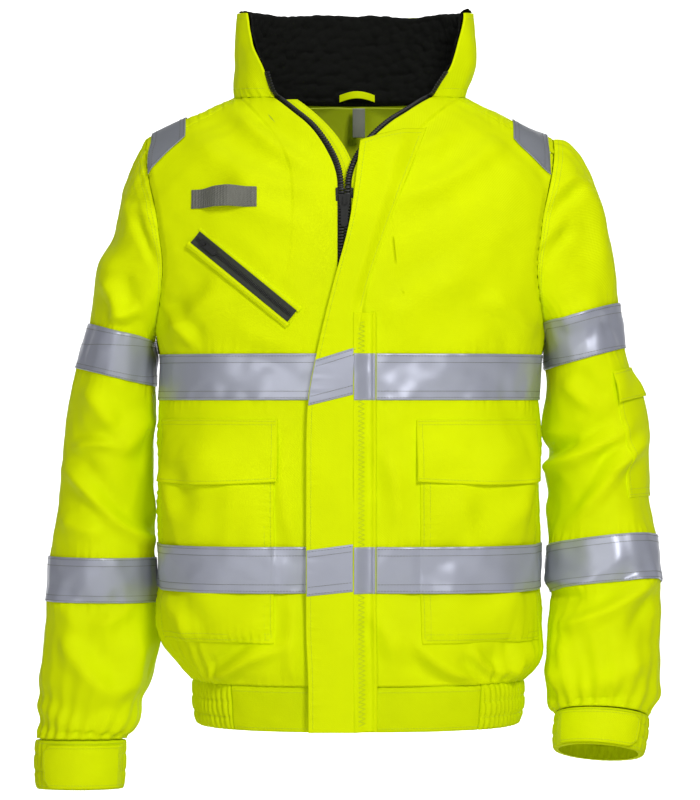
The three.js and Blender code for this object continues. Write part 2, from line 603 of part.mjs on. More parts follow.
// ---------- sleeves ----------
// Stations down each sleeve: the middle's height and place, half width and depth, the outer side's tilt and
// the tilt forwards.
const stationFields = ["z", "x", "y", "wide", "deep", "tilt", "lean"];
const sleeveStations = {
  [-1]: [
    { z: -292, x: 259, y: 14, wide: 41, deep: 86, tilt: 0.28, lean: 0 },
    { z: -350, x: 266, y: 20, wide: 48, deep: 80, tilt: 0.26, lean: 0 },
    { z: -420, x: 272, y: 24, wide: 53, deep: 75, tilt: 0.18, lean: 0 },
    { z: elbowZ, x: 276, y: 25, wide: 57, deep: 72, tilt: 0.1, lean: 0 },
    { z: -560, x: 278, y: 22, wide: 61, deep: 68, tilt: 0.04, lean: 0.02 },
    { z: -625, x: 281, y: 17, wide: 64, deep: 65, tilt: 0.02, lean: 0.04 },
    { z: -672, x: 287, y: 13, wide: 61, deep: 61, tilt: 0, lean: 0.05 },
    { z: -708, x: 296, y: 10, wide: 56, deep: 56, tilt: 0, lean: 0.05 },
    { z: rightCuffZ, x: 301, y: 9, wide: 50, deep: 51, tilt: 0, lean: 0.05 },
    { z: rightCuffZ - cuffLong, x: 302, y: 7, wide: 48, deep: 49, tilt: 0, lean: 0.05 },
  ],
  [1]: [
    { z: -292, x: 263, y: 12, wide: 45, deep: 86, tilt: 0.24, lean: 0 },
    { z: -350, x: 272, y: 16, wide: 53, deep: 80, tilt: 0.2, lean: 0 },
    { z: -420, x: 277, y: 16, wide: 58, deep: 76, tilt: 0.14, lean: 0.02 },
    { z: elbowZ, x: 280, y: 10, wide: 60, deep: 74, tilt: 0.06, lean: 0.06 },
    { z: -545, x: 283, y: -8, wide: 63, deep: 70, tilt: 0.02, lean: 0.16 },
    { z: -600, x: 281, y: -24, wide: 65, deep: 66, tilt: 0, lean: 0.22 },
    { z: -648, x: 280, y: -38, wide: 63, deep: 62, tilt: -0.02, lean: 0.25 },
    { z: -678, x: 279, y: -47, wide: 57, deep: 56, tilt: -0.04, lean: 0.26 },
    { z: leftCuffZ, x: 278, y: -50, wide: 51, deep: 51, tilt: -0.06, lean: 0.27 },
    { z: leftCuffZ - leftCuffLong, x: 273, y: -63, wide: 49, deep: 50, tilt: -0.08, lean: 0.28 },
  ],
};
const armholeGap = 3;
// How the top of each sleeve leaves the shoulder, and how far it still flares at the armpit's level.
const sleeveCap = {
  [-1]: { out: 0.5, down: 0.8, flare: 0.28 },
  [1]: { out: 0.65, down: -0.1, flare: 0.1 }, // this shoulder is raised, so its cap is fuller
};
// The armhole, by the angle from the shoulder tip: front for a positive angle.
function armhole(side, turn) {
  const b = 2 * PI * turn;
  const z = lerp(armpitZ + 1, shoulderTipZ - 1, (1 + cos(b)) / 2);
  const x = edgeX(z) + armholeGap;
  return [side * x, bodyY(edgeX(z), z, sin(b) > 0 ? -1 : 1), z];
}
function sleeveRing(side, row) {
  const value = (field) => through(sleeveStations[side].map((station, i) => [i, station[field]]))(row);
  const [z, x, y, wide, deep, tilt, lean] = stationFields.map(value);
  return (turn) => {
    const b = 2 * PI * turn;
    const dx = wide * cos(b), dy = -deep * sin(b);
    return [side * (x + dx), y + dy, z + tilt * dx - lean * dy];
  };
}
const sleeveRows = sleeveStations[1].length - 1;
// A sleeve: u round it, v from 0 at the armhole through 1 below the armpit to the cuff's end.
function sleeve(side) {
  const rings = new Map();
  const ringAt = (row) => {
    if (!rings.has(row)) rings.set(row, sleeveRing(side, row));
    return rings.get(row);
  };
  const first = ringAt(0);
  return (turn, row) => {
    if (row >= 0) return ringAt(row)(turn);
    const t = 1 + row;
    const a = new THREE.Vector3(...armhole(side, turn)), b = new THREE.Vector3(...first(turn));
    const far = a.distanceTo(b);
    const onTop = (1 + cos(2 * PI * turn)) / 2, { out, down, flare } = sleeveCap[side];
    const start = new THREE.Vector3(side * lerp(0.5, out, onTop), 0, -lerp(0.75, down, onTop)).multiplyScalar(far);
    const finishing = new THREE.Vector3(side * lerp(0.1, flare, onTop), 0, -1).multiplyScalar(far);
    const t2 = t * t, t3 = t2 * t;
    return a.multiplyScalar(2 * t3 - 3 * t2 + 1).addScaledVector(start, t3 - 2 * t2 + t)
      .addScaledVector(b, 3 * t2 - 2 * t3).addScaledVector(finishing, t3 - t2).toArray();
  };
}
const elbowRow = 3, cuffRow = 8, round = 18;
const part = (surface, low, high) => (u, v) => surface(u, lerp(low, high, v));
// The row at which a column of the sleeve comes down to a height.
function rowAt(surface, turn, z) {
  let low = -1, high = cuffRow;
  for (let i = 0; i < 24; i++) {
    const middle = (low + high) / 2;
    if (surface(turn, middle)[2] > z) low = middle;
    else high = middle;
  }
  return low;
}
// The heights of the tapes' top edges at the sleeve's outer and inner side, and how much the front is raised.
const sleeveTapeLift = 1.4;
const sleeveTapes = {
  [-1]: { upper: { outer: -256, inner: -277, front: 0 }, forearm: { outer: -517, inner: -518, front: 1 } },
  [1]: { upper: { outer: -234, inner: -259, front: 2 }, forearm: { outer: -494, inner: -505, front: 9 } },
};
function tapeRound(surface, { outer, inner, front }) {
  return (turn, v) => {
    const b = 2 * PI * turn;
    const top = lerp(outer, inner, (1 - cos(b)) / 2) + front * sin(b);
    const [low, high] = [rowAt(surface, turn, top - tapeWide), rowAt(surface, turn, top)];
    return surface(turn, lerp(low, max(high, -0.97), v));
  };
}
for (const { side, name } of sides) {
  const surface = sleeve(side), turned = { closed: true, flip: side };
  const upper = part(surface, -1, elbowRow - 0.02), fore = part(surface, elbowRow + 0.02, cuffRow - 0.1);
  add(`${name}_upper_sleeve`, "shell", between(upper, round, 12, -shellThick, 0, turned));
  add(`${name}_forearm_sleeve`, "shell", between(fore, round, 6, -shellThick, 0, turned));
  const depth = sleeveLiningDepth, deeper = -depth - liningThick;
  add(`${name}_upper_lining`, "lining",
    between(part(surface, -0.68, elbowRow - 0.04), 10, 6, deeper, -depth, turned));
  add(`${name}_forearm_lining`, "lining",
    between(part(surface, elbowRow + 0.04, cuffRow - 0.5), 10, 4, deeper, -depth, turned));
  for (const level of ["upper", "forearm"])
    add(`${name}_${level}_tape`, "tape",
      between(tapeRound(surface, sleeveTapes[side][level]), 2 * round, 4, sleeveTapeLift, sleeveTapeLift + tapeThick,
        { closed: true, flip: -side }));
  add(`${name}_cuff`, "shell",
    between(part(surface, cuffRow, cuffRow + 1), round, 2, -5, 0, turned));
  // The adjuster tab, from the inner side of the cuff round its front to a free outer end.
  const tab = (u, v) => surface(lerp(0.44, 0.12, u), lerp(cuffRow + 0.1, cuffRow + 1, v));
  add(`${name}_cuff_tab`, "shell", between(tab, 8, 1, 1.2, 3.4, { flip: -side }));
}

// A small pocket on the outside of the left upper sleeve, with its flap.
const armSurface = sleeve(1);
const armPocket = (u, v) => armSurface(lerp(-0.1, 0.17, u), lerp(2.6, 0.7, v));
add("arm_pocket", "shell",
  between(armPocket, 6, 4, (u, v) => 0.8 + 5.5 * sin(PI * u) ** 0.6 * clamp01(v) ** 0.5,
    (u, v) => 2.4 + 5.5 * sin(PI * u) ** 0.6 * clamp01(v) ** 0.5, { flip: -1 }));
const armFlap = (u, v) => armSurface(lerp(-0.11, 0.18, u), lerp(0.98, 0.42, v));
const armFlapLift = (v) => lerp(9.4, 2.4, smooth((v - 0.5) / 0.5));
add("arm_pocket_flap", "shell",
  between(armFlap, 6, 4, (u, v) => armFlapLift(v), (u, v) => armFlapLift(v) + 1.8, { flip: -1 }));

export default jacket;
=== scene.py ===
"""Looks of a padded high-visibility foul weather jacket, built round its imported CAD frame.

Lengths are millimetres until a mesh is made, which is in metres. +Z is up, -Y the front,
+X the wearer's left.
"""
import math

import bpy
import numpy as np
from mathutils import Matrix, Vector


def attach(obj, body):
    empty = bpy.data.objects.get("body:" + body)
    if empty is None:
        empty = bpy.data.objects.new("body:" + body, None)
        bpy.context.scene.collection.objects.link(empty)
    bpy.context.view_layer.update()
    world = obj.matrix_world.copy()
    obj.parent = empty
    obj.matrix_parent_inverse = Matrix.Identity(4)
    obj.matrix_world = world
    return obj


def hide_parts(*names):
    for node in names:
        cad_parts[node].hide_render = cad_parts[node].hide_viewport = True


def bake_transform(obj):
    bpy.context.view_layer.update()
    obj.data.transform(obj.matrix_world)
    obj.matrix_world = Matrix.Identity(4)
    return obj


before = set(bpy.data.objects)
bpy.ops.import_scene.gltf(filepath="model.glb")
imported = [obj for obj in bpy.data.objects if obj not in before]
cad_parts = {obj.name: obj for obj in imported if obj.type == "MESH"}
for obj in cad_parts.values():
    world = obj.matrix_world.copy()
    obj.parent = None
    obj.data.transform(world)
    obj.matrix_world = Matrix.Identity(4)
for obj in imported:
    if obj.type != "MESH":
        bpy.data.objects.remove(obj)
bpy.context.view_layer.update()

bpy.context.scene.view_settings.view_transform = "Standard"
PI = np.pi
FINE = 1.0  # share of the full grid density

# ---------- driving sizes, as in the part ----------
HEM_BOTTOM_Z = -700
HEM_SEAM_Z = -652
ARMPIT_Z = -272
SHOULDER_TIP_X = 226
SHOULDER_TIP_Z = -50
FRONT_TIP_Z = -70
NECK_HALF_WIDTH = 128
NECK_HALF_DEPTH = 80
NECK_CENTRE_Y = -10
NECK_FRONT_Z = -8
COLLAR_HEIGHT = 92
COLLAR_TOP_HALF_WIDTH = 131
SEAM_GAP = 1.5
TAPE_WIDE = 50
TAPE_LIFT = 1.2
CHEST_TAPE_Z = -292
WAIST_TAPE_Z = -500
ZIP_X = -6
ZIP_TOP_Z = -112
ZIP_GAP = 7.5
ZIP_FACE_Y = -150
FLAP_HINGE_X = 4
FLAP_LIFT = 8.6
FLAP_SPLIT_Z = -262
POCKET_INNER_X = {-1: 81, 1: 75}
POCKET_OUTER = 0.82
POCKET_TOP_Z = -400
POCKET_BOTTOM_Z = -604
POCKET_DEEP = 16
POCKET_FLAP_TOP_Z = -363
POCKET_FLAP_BOTTOM_Z = -430
ARCH_START_Z = -170
RIDGE_Y = 8
BODY_SQUARE = 2.5
ARCH_SQUARE = 2.2
FRONT_ROW_BIAS = 1.35
FRONT_SEAM_SHARE = 0.994
SHOULDER_SEAM_ANGLE = math.radians(110)
COLLAR_END_ANGLE = {-1: math.radians(138), 1: math.radians(133)}
COLLAR_TOP_ANGLE = math.radians(112)
COLLAR_ZIP_SHARE = 0.27
OPENING_END_X = {-1: -76, 1: 84}
HEM_PLAIN_SHARE = 0.53
SIDES = ((-1, "right"), (1, "left"))


# ---------- small helpers ----------
def lerp(a, b, t):
    return a + (b - a) * t


def clamp01(t):
    return np.clip(t, 0, 1)


def smooth(t):
    t = clamp01(t)
    return t * t * (3 - 2 * t)


def place(x, y, z):
    return np.stack(np.broadcast_arrays(x, y, z), -1).astype(float)


def unit(v):
    return v / np.maximum(np.linalg.norm(v, axis=-1, keepdims=True), 1e-9)


def through(stations):
    """A smooth curve through (place, value) stations, by cubic steps with averaged slopes."""
    xs, ys = np.array(stations, float).T
    before = np.maximum(np.arange(len(xs)) - 1, 0)
    after = np.minimum(np.arange(len(xs)) + 1, len(xs) - 1)
    slopes = (ys[after] - ys[before]) / (xs[after] - xs[before])

    def at(p):
        p = np.clip(p, xs[0], xs[-1])
        i = np.clip(np.searchsorted(xs, p, side="left") - 1, 0, len(xs) - 2)
        wide = xs[i + 1] - xs[i]
        t = (p - xs[i]) / wide
        return (
            ys[i] * (2 * t**3 - 3 * t**2 + 1) + slopes[i] * wide * (t**3 - 2 * t**2 + t)
            + ys[i + 1] * (3 * t**2 - 2 * t**3) + slopes[i + 1] * wide * (t**3 - t**2)
        )

    return at


def grid(columns, rows, u=(0, 1), v=(0, 1)):
    """Parameter arrays of a grid, rows first."""
    us = np.linspace(*u, max(2, round(columns * FINE)) + 1)
    vs = np.linspace(*v, max(2, round(rows * FINE)) + 1)
    return np.meshgrid(us, vs)


# ---------- the body's surface ----------
half_width = through([
    (-700, 178), (-652, 184), (-612, 204), (-540, 212), (-350, 210), (-272, 216), (-170, 238), (-50, 250),
    (60, 252),
])
front_depth = through([(-700, 146), (-652, 148), (-600, 150), (-125, 150), (-60, 140), (60, 128)])
back_depth = through([
    (-700, 118), (-652, 122), (-612, 138), (-500, 140), (-300, 140), (-170, 130), (60, 118),
])
ridge_z = through([(0, 24.5), (50, 21.5), (90, 9.5), (128, -4.5), (226, -50), (266, -67)])


def flat_y(x, z, face):
    share = np.minimum(1, np.abs(x) / half_width(z))
    depth = np.where(np.asarray(face) < 0, front_depth(z), back_depth(z))
    return face * depth * np.maximum(0, 1 - share**BODY_SQUARE) ** (1 / BODY_SQUARE)


def body_y(x, z, face):
    """Depth of the body at x and z: a squarish oval below, closing over the shoulder's ridge above."""
    rise = clamp01((z - ARCH_START_Z) / (ridge_z(np.abs(x)) - ARCH_START_Z))
    return lerp(RIDGE_Y, flat_y(x, z, face), (1 - rise**ARCH_SQUARE) ** (1 / ARCH_SQUARE))


def edge_x(z):
    share = clamp01((z - ARMPIT_Z) / 95)
    lower = half_width(z) * (1 - 0.13 * smooth(share) ** 0.62)
    return np.where(z <= ARMPIT_Z, half_width(z), lerp(lower, SHOULDER_TIP_X, smooth((z + 150) / 95)))


def teeth_x(side, z):
    t = clamp01((z - ZIP_TOP_Z) / (NECK_FRONT_Z - ZIP_TOP_Z))
    return lerp(ZIP_X, OPENING_END_X[side], t * t)


def neck_ring(a):
    drop = lerp(-2, NECK_FRONT_Z, ((1 - np.cos(a)) / 1.75) ** 2)
    return place(NECK_HALF_WIDTH * np.sin(a), NECK_CENTRE_Y + NECK_HALF_DEPTH * np.cos(a), drop)


def shoulder_seam_z(x):
    drop = lerp(6, 20, clamp01((x - NECK_HALF_WIDTH) / (SHOULDER_TIP_X - NECK_HALF_WIDTH)))
    return ridge_z(x) - drop


def across(u, z_out, inner):
    """x at a share u of the way round from inner to the side edge at the height z_out."""
    a, out = half_width(z_out), edge_x(z_out)
    share = a * np.sin(u * np.arcsin(np.minimum(1, out / a))) / out
    return lerp(inner, out, share)


def share_at(x, z):
    a = half_width(z)
    return np.arcsin(np.minimum(1, np.abs(x) / a)) / np.arcsin(np.minimum(1, edge_x(z) / a))


FRONT_NECK_X = NECK_HALF_WIDTH * math.sin(SHOULDER_SEAM_ANGLE)


def front_panel(side):
    """u runs from the zip to the side seam and armhole, v from the hem seam to the shoulder seam."""
    def at(u, v):
        v = 1 - (1 - v) ** FRONT_ROW_BIAS
        u = u * FRONT_SEAM_SHARE
        inner = teeth_x(side, lerp(HEM_SEAM_Z, NECK_FRONT_Z, v)) * side + ZIP_GAP
        top = across(u, FRONT_TIP_Z, OPENING_END_X[side] * side + ZIP_GAP)
        ring = neck_ring(PI - np.arcsin(np.minimum(1, top / NECK_HALF_WIDTH)))
        on_neck = top < FRONT_NECK_X
        top_z = np.where(on_neck, ring[..., 2], shoulder_seam_z(top))
        z = lerp(HEM_SEAM_Z + SEAM_GAP, top_z - SEAM_GAP, v)
        x = across(u, lerp(HEM_SEAM_Z + SEAM_GAP, FRONT_TIP_Z - SEAM_GAP, v), inner)
        off = np.where(on_neck, ring[..., 1] - body_y(top, top_z - SEAM_GAP, -1), 0)
        return place(side * x, body_y(x, z, -1) + off * v**8, z)

    return at


def arch_step(angle):
    return np.abs(angle) ** (2 / ARCH_SQUARE)


def back_panel(u, v):
    """u runs from the right side to the left, v from the hem seam over the ridge to the shoulder seam."""
    side, w = np.where(u < 0.5, -1, 1), np.abs(2 * u - 1)
    z_low = lerp(HEM_SEAM_Z + SEAM_GAP, ARCH_START_Z, np.minimum(v, 0.5) / 0.5)
    x_low = across(w, z_low, 0)
    low = place(side * x_low, body_y(x_low, z_low, 1), z_low)
    k = clamp01((v - 0.5) / 0.5)
    on_neck = w < 0.45
    neck_part, seam_part = np.minimum(1, w / 0.45), clamp01((w - 0.45) / 0.55)
    turn = math.radians
    end = np.where(on_neck, lerp(turn(58), turn(107), neck_part**1.6), lerp(turn(107), turn(124), seam_part))
    ring = neck_ring(SHOULDER_SEAM_ANGLE * neck_part)
    top_x = np.where(on_neck, ring[..., 0], lerp(FRONT_NECK_X, SHOULDER_TIP_X, seam_part))
    angle = k * end
    rise = arch_step(np.sin(np.minimum(PI / 2, angle * PI / 2 / end)))
    outer_z = ARCH_START_Z + (SHOULDER_TIP_Z - ARCH_START_Z) * rise
    x = lerp(across(w, outer_z, 0), top_x, smooth(k))

    def over(x_at, angle_at):
        z = ARCH_START_Z + (ridge_z(x_at) - ARCH_START_Z) * arch_step(np.sin(angle_at))
        face = np.where(np.cos(angle_at) < 0, -1, 1)
        return lerp(RIDGE_Y, flat_y(x_at, z, face), arch_step(np.cos(angle_at))), z

    y, z = over(x, angle)
    end_y, end_z = over(top_x, end)
    pull = np.where(on_neck, k**5, 0)
    high = place(side * x, y + pull * (ring[..., 1] - end_y), z + pull * (ring[..., 2] - SEAM_GAP - end_z))
    return np.where((v <= 0.5)[..., None], low, high)


def level_patch(side, face):
    """u is the share round from the middle to the side edge, v the height itself."""
    return lambda u, z: place(side * across(u, z, 0), body_y(across(u, z, 0), z, face), z)


def collar(u, h):
    """u runs from the right front end round the back to the left end, h from the seam to the top edge."""
    s = 2 * u - 1
    end_angle = np.where(s < 0, COLLAR_END_ANGLE[-1], COLLAR_END_ANGLE[1])
    a = s * lerp(end_angle, COLLAR_TOP_ANGLE, h)
    base = neck_ring(np.abs(s) * end_angle)
    wide = lerp(NECK_HALF_WIDTH, COLLAR_TOP_HALF_WIDTH, h) + 3 * np.sin(PI * h)
    deep = lerp(NECK_HALF_DEPTH, 86, h)
    z = lerp(base[..., 2] + SEAM_GAP, COLLAR_HEIGHT - 6 * s * s, h)
    lean = 6 * smooth(h / 0.4)
    return place(wide * np.sin(a) + lean, lerp(NECK_CENTRE_Y, -8, h) + deep * np.cos(a), z)


# ---------- sleeves: rings of (height, x, y, half width, half depth, outer tilt, tilt forwards) ----------
SLEEVE_RINGS = {
    -1: [
        (-292, 259, 14, 41, 86, .28, 0), (-350, 266, 20, 48, 80, .26, 0), (-420, 272, 24, 53, 75, .18, 0),
        (-478, 276, 25, 57, 72, .1, 0), (-560, 278, 22, 61, 68, .04, .02), (-625, 281, 17, 64, 65, .02, .04),
        (-672, 287, 13, 61, 61, 0, .05), (-708, 296, 10, 56, 56, 0, .05), (-722, 301, 9, 50, 51, 0, .05),
        (-776, 302, 7, 48, 49, 0, .05),
    ],
    1: [
        (-292, 263, 12, 45, 86, .24, 0), (-350, 272, 16, 53, 80, .2, 0), (-420, 277, 16, 58, 76, .14, .02),
        (-478, 280, 10, 60, 74, .06, .06), (-545, 283, -8, 63, 70, .02, .16),
        (-600, 281, -24, 65, 66, 0, .22), (-648, 280, -38, 63, 62, -.02, .25),
        (-678, 279, -47, 57, 56, -.04, .26),
        (-690, 278, -50, 51, 51, -.06, .27), (-729, 273, -63, 49, 50, -.08, .28),
    ],
}
ARMHOLE_GAP = 0.3  # the cut edges meet here, as they are sewn together
SLEEVE_CAP = {-1: (0.5, 0.8, 0.28), 1: (0.65, -0.1, 0.1)}  # outwards, downwards, flare at the armpit's level
CUFF_ROW = 8


def sleeve(side):
    """Places by turn (0 outer side, .25 front, .5 inner side) and row (-1 armhole, 9 cuff end)."""
    fields = [through(list(enumerate(column))) for column in zip(*SLEEVE_RINGS[side])]

    def ring(turn, row):
        z, x, y, wide, deep, tilt, lean = [field(row) for field in fields]
        dx, dy = wide * np.cos(2 * PI * turn), -deep * np.sin(2 * PI * turn)
        return place(side * (x + dx), y + dy, z + tilt * dx - lean * dy)

    def at(turn, row):
        turn, row = np.broadcast_arrays(np.asarray(turn, float), np.asarray(row, float))
        b = 2 * PI * turn
        z = lerp(ARMPIT_Z + 1, SHOULDER_TIP_Z - 1, (1 + np.cos(b)) / 2)
        edge = edge_x(z)
        start = place(side * (edge + ARMHOLE_GAP), body_y(edge, z, np.where(np.sin(b) > 0, -1, 1)), z)
        below = ring(turn, np.maximum(row, 0))
        first = ring(turn, np.zeros_like(row))
        far = np.linalg.norm(first - start, axis=-1, keepdims=True)
        t = clamp01(1 + row)[..., None]
        on_top = (1 + np.cos(b)) / 2
        out, down, flare = SLEEVE_CAP[side]
        leave = place(side * lerp(0.5, out, on_top), 0, -lerp(0.75, down, on_top)) * far
        arrive = place(side * lerp(0.1, flare, on_top), 0, -1) * far
        cap = (
            start * (2 * t**3 - 3 * t**2 + 1) + leave * (t**3 - 2 * t**2 + t)
            + first * (3 * t**2 - 2 * t**3) + arrive * (t**3 - t**2)
        )
        return np.where((row < 0)[..., None], cap, below)

    return at


SLEEVE = {side: sleeve(side) for side, _ in SIDES}


def row_at(side, turn, z):
    """The row at which each column of the sleeve comes down to the height z."""
    rows = np.linspace(-1, CUFF_ROW, 300)
    turns = turn[0] if turn.ndim > 1 else turn
    heights = SLEEVE[side](turns[None, :], rows[:, None])[..., 2]
    z = np.broadcast_to(z, turn.shape).reshape(-1, len(turns))
    found = np.stack([np.interp(-z[:, i], -heights[:, i], rows) for i in range(len(turns))], 1)
    return found.reshape(turn.shape)


# ---------- how the cloth stands off those surfaces ----------
def waves(count, shortest, longest, seed):
    """A smooth random field, about -1 to 1: a sum of sines with seeded directions and wavelengths."""
    draw = np.random.default_rng(seed)
    ways = unit(draw.normal(size=(count, 3)))
    lengths = np.exp(draw.uniform(np.log(shortest), np.log(longest), count))
    shifts = draw.uniform(0, 2 * PI, count)

    def at(p):
        total = np.zeros(p.shape[:-1])
        for way, length, shift in zip(ways, lengths, shifts):
            total += np.sin(2 * PI * (p @ way) / length + shift)
        return total / math.sqrt(count / 1.4)

    return at


broad = waves(10, 110, 260, 3)
medium = waves(12, 45, 95, 5)
small = waves(14, 16, 34, 8)
drift = waves(6, 60, 160, 12)


def fold(x, z, x0, z0, x1, z1, wide, high):
    """A soft ridge along a segment, high * exp(-(s / wide)^2), with a dip beside it and fading ends."""
    long = math.hypot(x1 - x0, z1 - z0)
    tx, tz = (x1 - x0) / long, (z1 - z0) / long
    along = ((x - x0) * tx + (z - z0) * tz) / long
    s = -(x - x0) * tz + (z - z0) * tx + 0.06 * long * np.sin(3.1 * along + x0)
    fade = smooth((along + 0.25) / 0.5) * smooth((1.25 - along) / 0.5)
    ridge = np.exp(-((s / wide) ** 2))
    dip = 0.55 * np.exp(-(((s - 1.8 * wide) / (1.3 * wide)) ** 2))
    return high * fade * (ridge - dip)


# Each fold is (x, z, x, z, width, height) on the front as it hangs.
BODY_FOLDS = [
    (-164, -68, -84, -105, 15, 4), (-86, -105, -24, -120, 11, 3), (-126, -30, -32, -93, 10, 3.5),
    (110, -53, 42, -77, 13, 3.5), (172, -64, 56, -120, 13, 3.5), (-119, -116, -54, -154, 15, 2.5),
    (-199, -267, -140, -232, 12, 3.5), (194, -267, 150, -234, 12, 3.5), (-203, -245, -168, -280, 7, 3),
    (-192, -558, -172, -601, 10, 4), (-147, -648, -75, -605, 8, 5), (-156, -639, -95, -611, 7, 3),
    (129, -647, 69, -607, 9, 5), (162, -642, 185, -609, 9, 5), (147, -639, 129, -611, 7, 4),
    (45, -622, 15, -558, 12, 4), (56, -478, 32, -401, 12, 3), (-60, -498, -69, -398, 11, 3),
    (-58, -640, -66, -560, 10, 3), (190, -420, 170, -470, 10, 3), (-196, -420, -176, -470, 10, 3),
    (40, -250, 120, -215, 16, 2.5), (-60, -285, -120, -262, 12, 2),
]
BACK_FOLDS = [
    (-180, -250, -70, -200, 16, 4), (185, -240, 80, -190, 16, 4), (-150, -120, -60, -90, 14, 3),
    (140, -125, 50, -95, 14, 3), (-120, -640, -80, -570, 11, 4), (30, -640, 60, -560, 12, 4),
    (130, -640, 110, -575, 10, 4), (-40, -640, -30, -590, 9, 4), (-170, -470, -60, -440, 16, 3),
    (170, -400, 70, -430, 16, 3), (-20, -290, 20, -200, 18, 2.5), (0, -60, 60, -130, 14, 2.5),
]
BODY_LINES = (CHEST_TAPE_Z, CHEST_TAPE_Z - TAPE_WIDE, WAIST_TAPE_Z, WAIST_TAPE_Z - TAPE_WIDE, HEM_SEAM_Z)


HALF_GIRTH = 290


# Between which sewn rows the padding swells, and by how much in the middle.
SWELLS = (
    (HEM_SEAM_Z, WAIST_TAPE_Z - TAPE_WIDE, 6.5),
    (WAIST_TAPE_Z, CHEST_TAPE_Z - TAPE_WIDE, 3.0),
    (CHEST_TAPE_Z, -60, 3.0),
)


def round_body(p):
    """Distance round the body from its middle, about, in mm."""
    return 195 * np.arctan2(p[..., 0], np.abs(p[..., 1]) + 25)


def from_chest_zip(x, z):
    """Distance on the front from the chest zip's line."""
    t = clamp01(((x + 166) * 104 - (z + 166) * 86) / (104**2 + 86**2))
    return np.hypot(x + 166 - 104 * t, z + 166 + 86 * t)


def cloth_low(p):
    """How far the body's cloth stands off, without puckers: swelling between sewn rows, and folds."""
    x, y, z = np.moveaxis(p, -1, 0)
    total = 1.8 * broad(p) + 1.2 * medium(p)
    for low, high, swell in SWELLS:
        total += swell * np.sin(PI * clamp01((z - low) / (high - low))) ** 0.8
    for low in (CHEST_TAPE_Z, WAIST_TAPE_Z):
        total -= 1.6 * np.exp(-(((z - low + 25) / 30) ** 4))
    front = smooth((30 - y) / 60)
    for place_of in BODY_FOLDS:
        total += 1.75 * front * fold(x, z, *place_of)
    for place_of in BACK_FOLDS:
        total += 1.75 * (1 - front) * fold(x, z, *place_of)
    gather = smooth((share_at(x, z) - 0.5) / 0.1)
    gather = np.where(y > 8, 1, gather)
    around = np.abs(round_body(p))
    around = np.where(y > 8, 2 * HALF_GIRTH - around, around) * np.sign(x + 1e-6)
    pleats = np.sin(2 * PI * around / 17 + 1.3 * drift(p))
    total += gather * 3.2 * np.exp(-np.abs(z - HEM_SEAM_Z) / 34) * (pleats + 0.3)
    under_flap = np.exp(-(((x + 12) / 44) ** 4)) * smooth((-60 - z) / 60)
    by_zip = np.exp(-((from_chest_zip(x, z) / 24) ** 4))
    total *= 1 - front * np.maximum(0.85 * under_flap, 0.8 * by_zip)
    neck = smooth((z + 40) / 40) * smooth((NECK_HALF_WIDTH + 30 - np.abs(x)) / 30)
    seam = smooth((share_at(x, z) - 0.93) / 0.07) * smooth((z - ARMPIT_Z + 10) / 30)
    return total * (1 - 0.75 * np.maximum(neck, seam)) * smooth((z - HEM_SEAM_Z + 6) / 22)


def pucker(distance, along, p, high=0.55, pitch=10.5, reach=9):
    """Small gathers beside a sewn row: a sine along it that dies away from it."""
    wave = np.sin(2 * PI * along / pitch + 2.2 * drift(p))
    wave = wave + 0.5 * np.sin(2 * PI * along / (pitch * 0.57) + 3 * drift(p))
    return high * (0.55 + 0.45 * medium(p)) * wave * np.exp(-np.abs(distance) / reach)


def cloth_fine(p):
    """Puckers along the body's tapes and seams, and a slight unevenness of the padded cloth everywhere."""
    x, y, z = np.moveaxis(p, -1, 0)
    around, share = round_body(p), share_at(x, z)
    total = 0.22 * small(p)
    for line in BODY_LINES:
        total += pucker(z - line, around, p)
    total += pucker((1 - share) * HALF_GIRTH, z, p, 0.8)
    total += pucker(z - shoulder_seam_z(np.abs(x)), x, p, 0.5) * (y < 8) * (z > -120)
    inside = np.zeros_like(z)
    for top in (CHEST_TAPE_Z, WAIST_TAPE_Z):
        inside = np.maximum(inside, (z < top - 1) & (z > top - TAPE_WIDE + 1))
    groove = np.exp(-(((1 - share) * HALF_GIRTH / 2.2) ** 2))
    return total * (1 - 0.85 * inside) - 0.4 * groove


def body_cloth(p, u, v):
    return cloth_low(p)


def body_shell(p, u, v):
    return cloth_low(p) + cloth_fine(p)


SLEEVE_FOLDS = {
    -1: [
        (-232, -136, -211, -194, 7, -6), (-203, -119, -245, -125, 8, -4), (-272, -214, -247, -251, 9, 5),
        (-316, -424, -263, -466, 9, 5.5), (-263, -466, -222, -503, 9, 5), (-305, -393, -263, -393, 7, 4),
        (-321, -475, -276, -486, 11, 3.5), (-321, -607, -265, -663, 13, 5), (-224, -607, -256, -674, 13, 5),
        (-282, -590, -240, -575, 9, 2.5), (-224, -364, -254, -397, 11, 4), (-287, -331, -265, -372, 11, 3.5),
        (-300, -150, -262, -215, 16, 4), (-235, -240, -260, -255, 8, 3.5), (-330, -560, -300, -600, 12, 3),
    ],
    1: [
        (216, -137, 256, -109, 8, -6), (211, -190, 240, -155, 9, -5), (206, -430, 299, -371, 10, 7.5),
        (251, -472, 304, -388, 10, 6), (206, -412, 240, -386, 8, -5), (213, -556, 251, -553, 7, -4),
        (233, -586, 326, -548, 10, 7), (304, -595, 340, -558, 10, -4), (275, -232, 235, -262, 12, 3),
        (319, -628, 275, -655, 12, 5), (231, -606, 227, -655, 11, 4), (283, -419, 326, -385, 9, 5),
        (262, -110, 290, -200, 14, 4.5), (240, -320, 262, -352, 9, 3.5),
    ],
}


